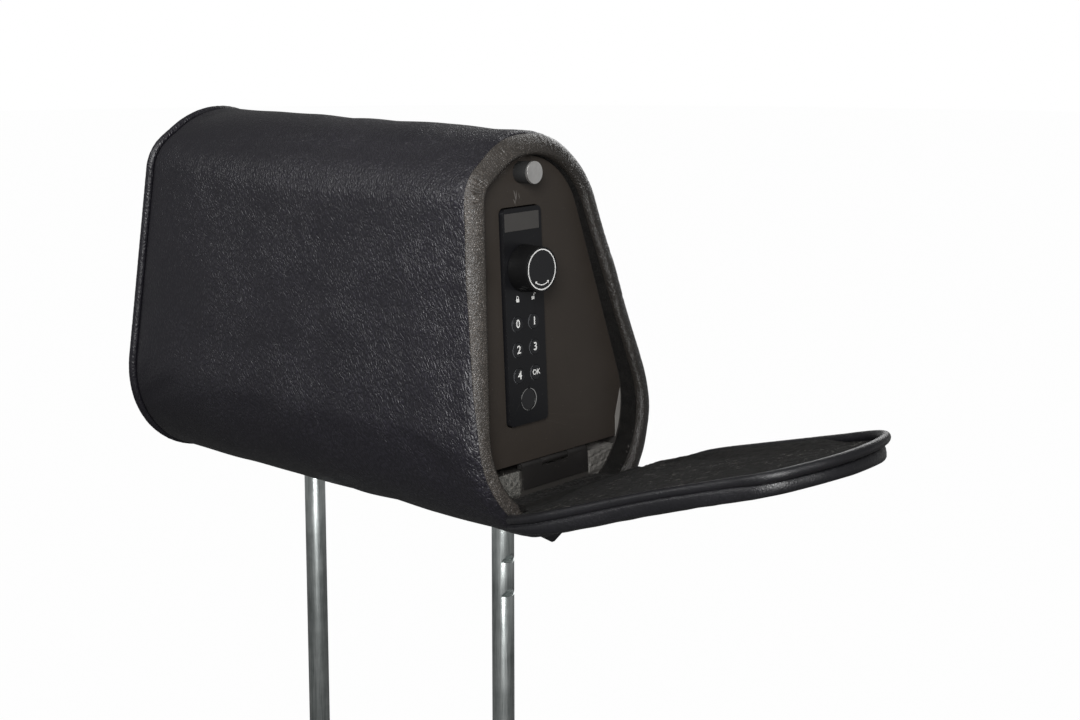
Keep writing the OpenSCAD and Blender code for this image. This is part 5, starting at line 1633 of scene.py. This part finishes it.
@dataclass
class Hardware:
    """Finishes and broken edges of the nodes whose shapes stay as they are."""

    finishes: Finishes

    def paints(self) -> dict[bpy.types.Material, str]:
        """Which nodes each finish goes on."""
        f = self.finishes
        return {
            f.foam: "foam_core far_pad",
            f.post: "post_plain post_notched",
            f.zinc: "post_saddle post_collars saddle_bolts saddle_nuts hinge_pin clutch_motor carrier_plate "
                    "standoffs bolt_guides cover_screws spindle",
            f.shell: "safe_shell back_plate",
            f.frame: "door_frame",
            f.rubber: "interior_mat",
            f.hinge: "frame_leaf door_leaf",
            f.door: "door_panel",
            f.case: "catch_post lock_case battery_box inner_cover battery_lid",
            f.disc: "catch_disc",
            f.panel: "lock_bezel finger_ring",
            f.board: "circuit_board",
            f.window: "label_window",
            f.sensor: "finger_sensor",
            f.cell: "batteries",
            f.knob: "knob",
            f.knob_face: "knob_face",
            f.brass: "pinion",
            f.bolt: "bolt_front bolt_rear bolt_top",
            f.fibreboard: "flap_board",
            f.key: "key_0 key_1 key_2 key_3 key_4 key_ok"}

    def bevels(self) -> dict[str, tuple[float, int]]:
        """Width in millimetres and steps of the broken edges, by node."""
        edges = {"lock_bezel": (0.55, 3), "knob": (0.6, 3), "knob_face": (0.12, 2),
                 "inner_cover": (0.5, 2), "door_panel": (0.45, 2), "post_plain": (0.4, 2),
                 "catch_disc door_frame battery_lid battery_box post_notched": (0.3, 2),
                 "finger_ring": (0.25, 2), "catch_post label_window door_leaf frame_leaf": (0.2, 2),
                 "key_0 key_1 key_2 key_3 key_4 key_ok": (0.05, 1)}
        return {name: edge for names, edge in edges.items() for name in names.split()}

    def build(self) -> None:
        """Paints every node and breaks the edges that show."""
        edges = self.bevels()
        for paint, names in self.paints().items():
            for name in names.split():
                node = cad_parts[name]
                node.data.materials.clear()
                node.data.materials.append(paint)
                if name in edges:
                    weld = node.modifiers.new("join", "WELD")
                    weld.merge_threshold = 0.01 * MM
                    bevel = node.modifiers.new("edge", "BEVEL")
                    bevel.width, bevel.segments = edges[name][0] * MM, edges[name][1]
                    bevel.limit_method, bevel.angle_limit = "ANGLE", math.radians(38.0)
                    bevel.use_clamp_overlap, bevel.harden_normals = True, False
                LOG.info("dressed %s", name)


# ---------------------------------------------------------------- studio


@dataclass
class Studio:
    """White floor and surroundings, soft lamps and the camera."""

    floor_z: float = -190.3
    eye: tuple[float, float, float] = (0.735531, -0.701259, 0.286881)
    dip: float = 9.064
    swing: float = 41.823
    lens: float = 58.98
    shift_y: float = -95.0 / 1080.0
    target: tuple[float, float, float] = (0.06, -0.02, 0.09)
    lamps: tuple[tuple[str, tuple[float, float, float], float, float], ...] = (
        ("side_lamp", (1.05, -0.88, 0.28), 0.6, 8.8),
        ("near_lamp", (0.62, -0.66, 0.5), 0.3, 7.4),
        ("front_lamp", (-0.18, -0.72, 0.6), 0.25, 2.2),
        ("top_lamp", (-0.1, -0.5, 1.0), 0.4, 1.0),
        ("rear_lamp", (-0.3, 1.2, 0.7), 0.8, 6.0))

    def seen(self, tree: bpy.types.NodeTree, camera: float, glossy: "Wire | float",
             clear: "Wire | float") -> Wire:
        """How white a surface is to the camera, to mirrors and through glass: the largest that holds."""
        path = tree.nodes.new("ShaderNodeLightPath")
        share = Wire(tree, path.outputs["Is Camera Ray"]) * camera
        share = share.top(Wire(tree, path.outputs["Is Glossy Ray"]) * glossy)
        return share.top(Wire(tree, path.outputs["Is Transmission Ray"]) * clear)

    def seen_white(self, name: str, base: Colour, share: float) -> bpy.types.Material:
        """A pale surface that the camera and mirrors see as white, shadows included in part."""
        coat = Coat(name)
        coat.done(base, 0.85)
        mirrored = coat.vector("LENGTH", {0: coat.place}, "Value").step(400.0, 1600.0) * 0.3 + 0.02
        seen = self.seen(coat.tree, share, mirrored, mirrored)
        glow = coat.tree.nodes.new("ShaderNodeEmission")
        glow.inputs["Strength"].default_value = 1.0
        mix = coat.tree.nodes.new("ShaderNodeMixShader")
        coat.tree.links.new(seen.socket, mix.inputs["Fac"])
        coat.tree.links.new(coat.shader.outputs[0], mix.inputs[1])
        coat.tree.links.new(glow.outputs[0], mix.inputs[2])
        coat.tree.links.new(mix.outputs[0], coat.out.inputs["Surface"])
        return coat.material

    def floor(self) -> None:
        """A wide disc: rings about the middle, level, under the posts."""
        around = 64
        turn = np.arange(around) * TAU / around
        radius = np.array([0.001, 900.0, 2500.0, 6000.0])[:, None]
        x, y = radius * np.cos(turn), radius * np.sin(turn)
        points = np.stack([x, y, np.full_like(x, self.floor_z)], -1).reshape(-1, 3)
        mesh = bpy.data.meshes.new("studio_floor")
        faces = quads(len(radius), around, False, True)[:, ::-1]
        mesh.from_pydata((points * MM).tolist(), [], faces.tolist())
        mesh.materials.append(self.seen_white("floor_white", (0.08, 0.08, 0.08), 0.988))
        piece = bpy.data.objects.new("studio_floor", mesh)
        bpy.context.scene.collection.objects.link(piece)

    def surroundings(self) -> None:
        """A world that is white to the camera and to mirrors, and a soft grey light otherwise."""
        world = bpy.data.worlds.new("studio")
        world.use_nodes = True
        bpy.context.scene.world = world
        tree = world.node_tree
        tree.nodes.clear()
        out, soft = tree.nodes.new("ShaderNodeOutputWorld"), tree.nodes.new("ShaderNodeBackground")
        soft.inputs["Color"].default_value = (1.0, 1.0, 1.0, 1.0)
        soft.inputs["Strength"].default_value = 0.1
        white = tree.nodes.new("ShaderNodeBackground")
        white.inputs["Color"].default_value = (1.0, 1.0, 1.0, 1.0)
        mix = tree.nodes.new("ShaderNodeMixShader")
        tree.links.new(self.seen(tree, 1.0, 0.1, 0.25).socket, mix.inputs["Fac"])
        tree.links.new(soft.outputs[0], mix.inputs[1])
        tree.links.new(white.outputs[0], mix.inputs[2])
        tree.links.new(mix.outputs[0], out.inputs["Surface"])

    def light(self) -> None:
        """Square soft lamps that face the middle of the headrest."""
        for name, place, size, power in self.lamps:
            lamp = bpy.data.lights.new(name, "AREA")
            lamp.shape, lamp.size, lamp.energy = "SQUARE", size, power
            piece = bpy.data.objects.new(name, lamp)
            aim = np.array(self.target) - np.array(place)
            flat = math.hypot(aim[0], aim[1])
            piece.location = place
            piece.rotation_euler = (math.atan2(flat, -aim[2]), 0.0,
                                    math.atan2(aim[1], aim[0]) - math.pi / 2)
            bpy.context.scene.collection.objects.link(piece)

    def camera(self) -> None:
        """The photograph's viewpoint."""
        lens = bpy.data.cameras.new("camera")
        lens.sensor_fit, lens.sensor_width, lens.lens = "HORIZONTAL", 36.0, self.lens
        lens.shift_y, lens.clip_start, lens.clip_end = self.shift_y, 0.01, 50.0
        piece = bpy.data.objects.new("camera", lens)
        piece.location = self.eye
        piece.rotation_euler = (math.radians(90.0 - self.dip), 0.0, math.radians(self.swing))
        bpy.context.scene.collection.objects.link(piece)
        bpy.context.scene.camera = piece

    def build(self) -> None:
        """Makes camera, floor, light and world."""
        self.camera()
        self.floor()
        self.surroundings()
        self.light()
        bpy.context.scene.view_settings.view_transform = "Standard"


def main() -> None:
    """Builds every class in order."""
    logging.basicConfig(level=logging.INFO, format="%(name)s: %(message)s")
    Studio().build()
    layout, finishes, padding = Layout(), Finishes(), Padding()
    body = PaddedBody(layout, finishes)
    body.build(padding)
    DoorRoll(layout, finishes, body).build()
    Recess(layout, finishes).build()
    FarEnd(layout, finishes).build(padding)
    Flap(layout, finishes).build(padding)
    LockPanel(layout, finishes).build()
    Hardware(finishes).build()


if __name__ == "__main__":
    main()
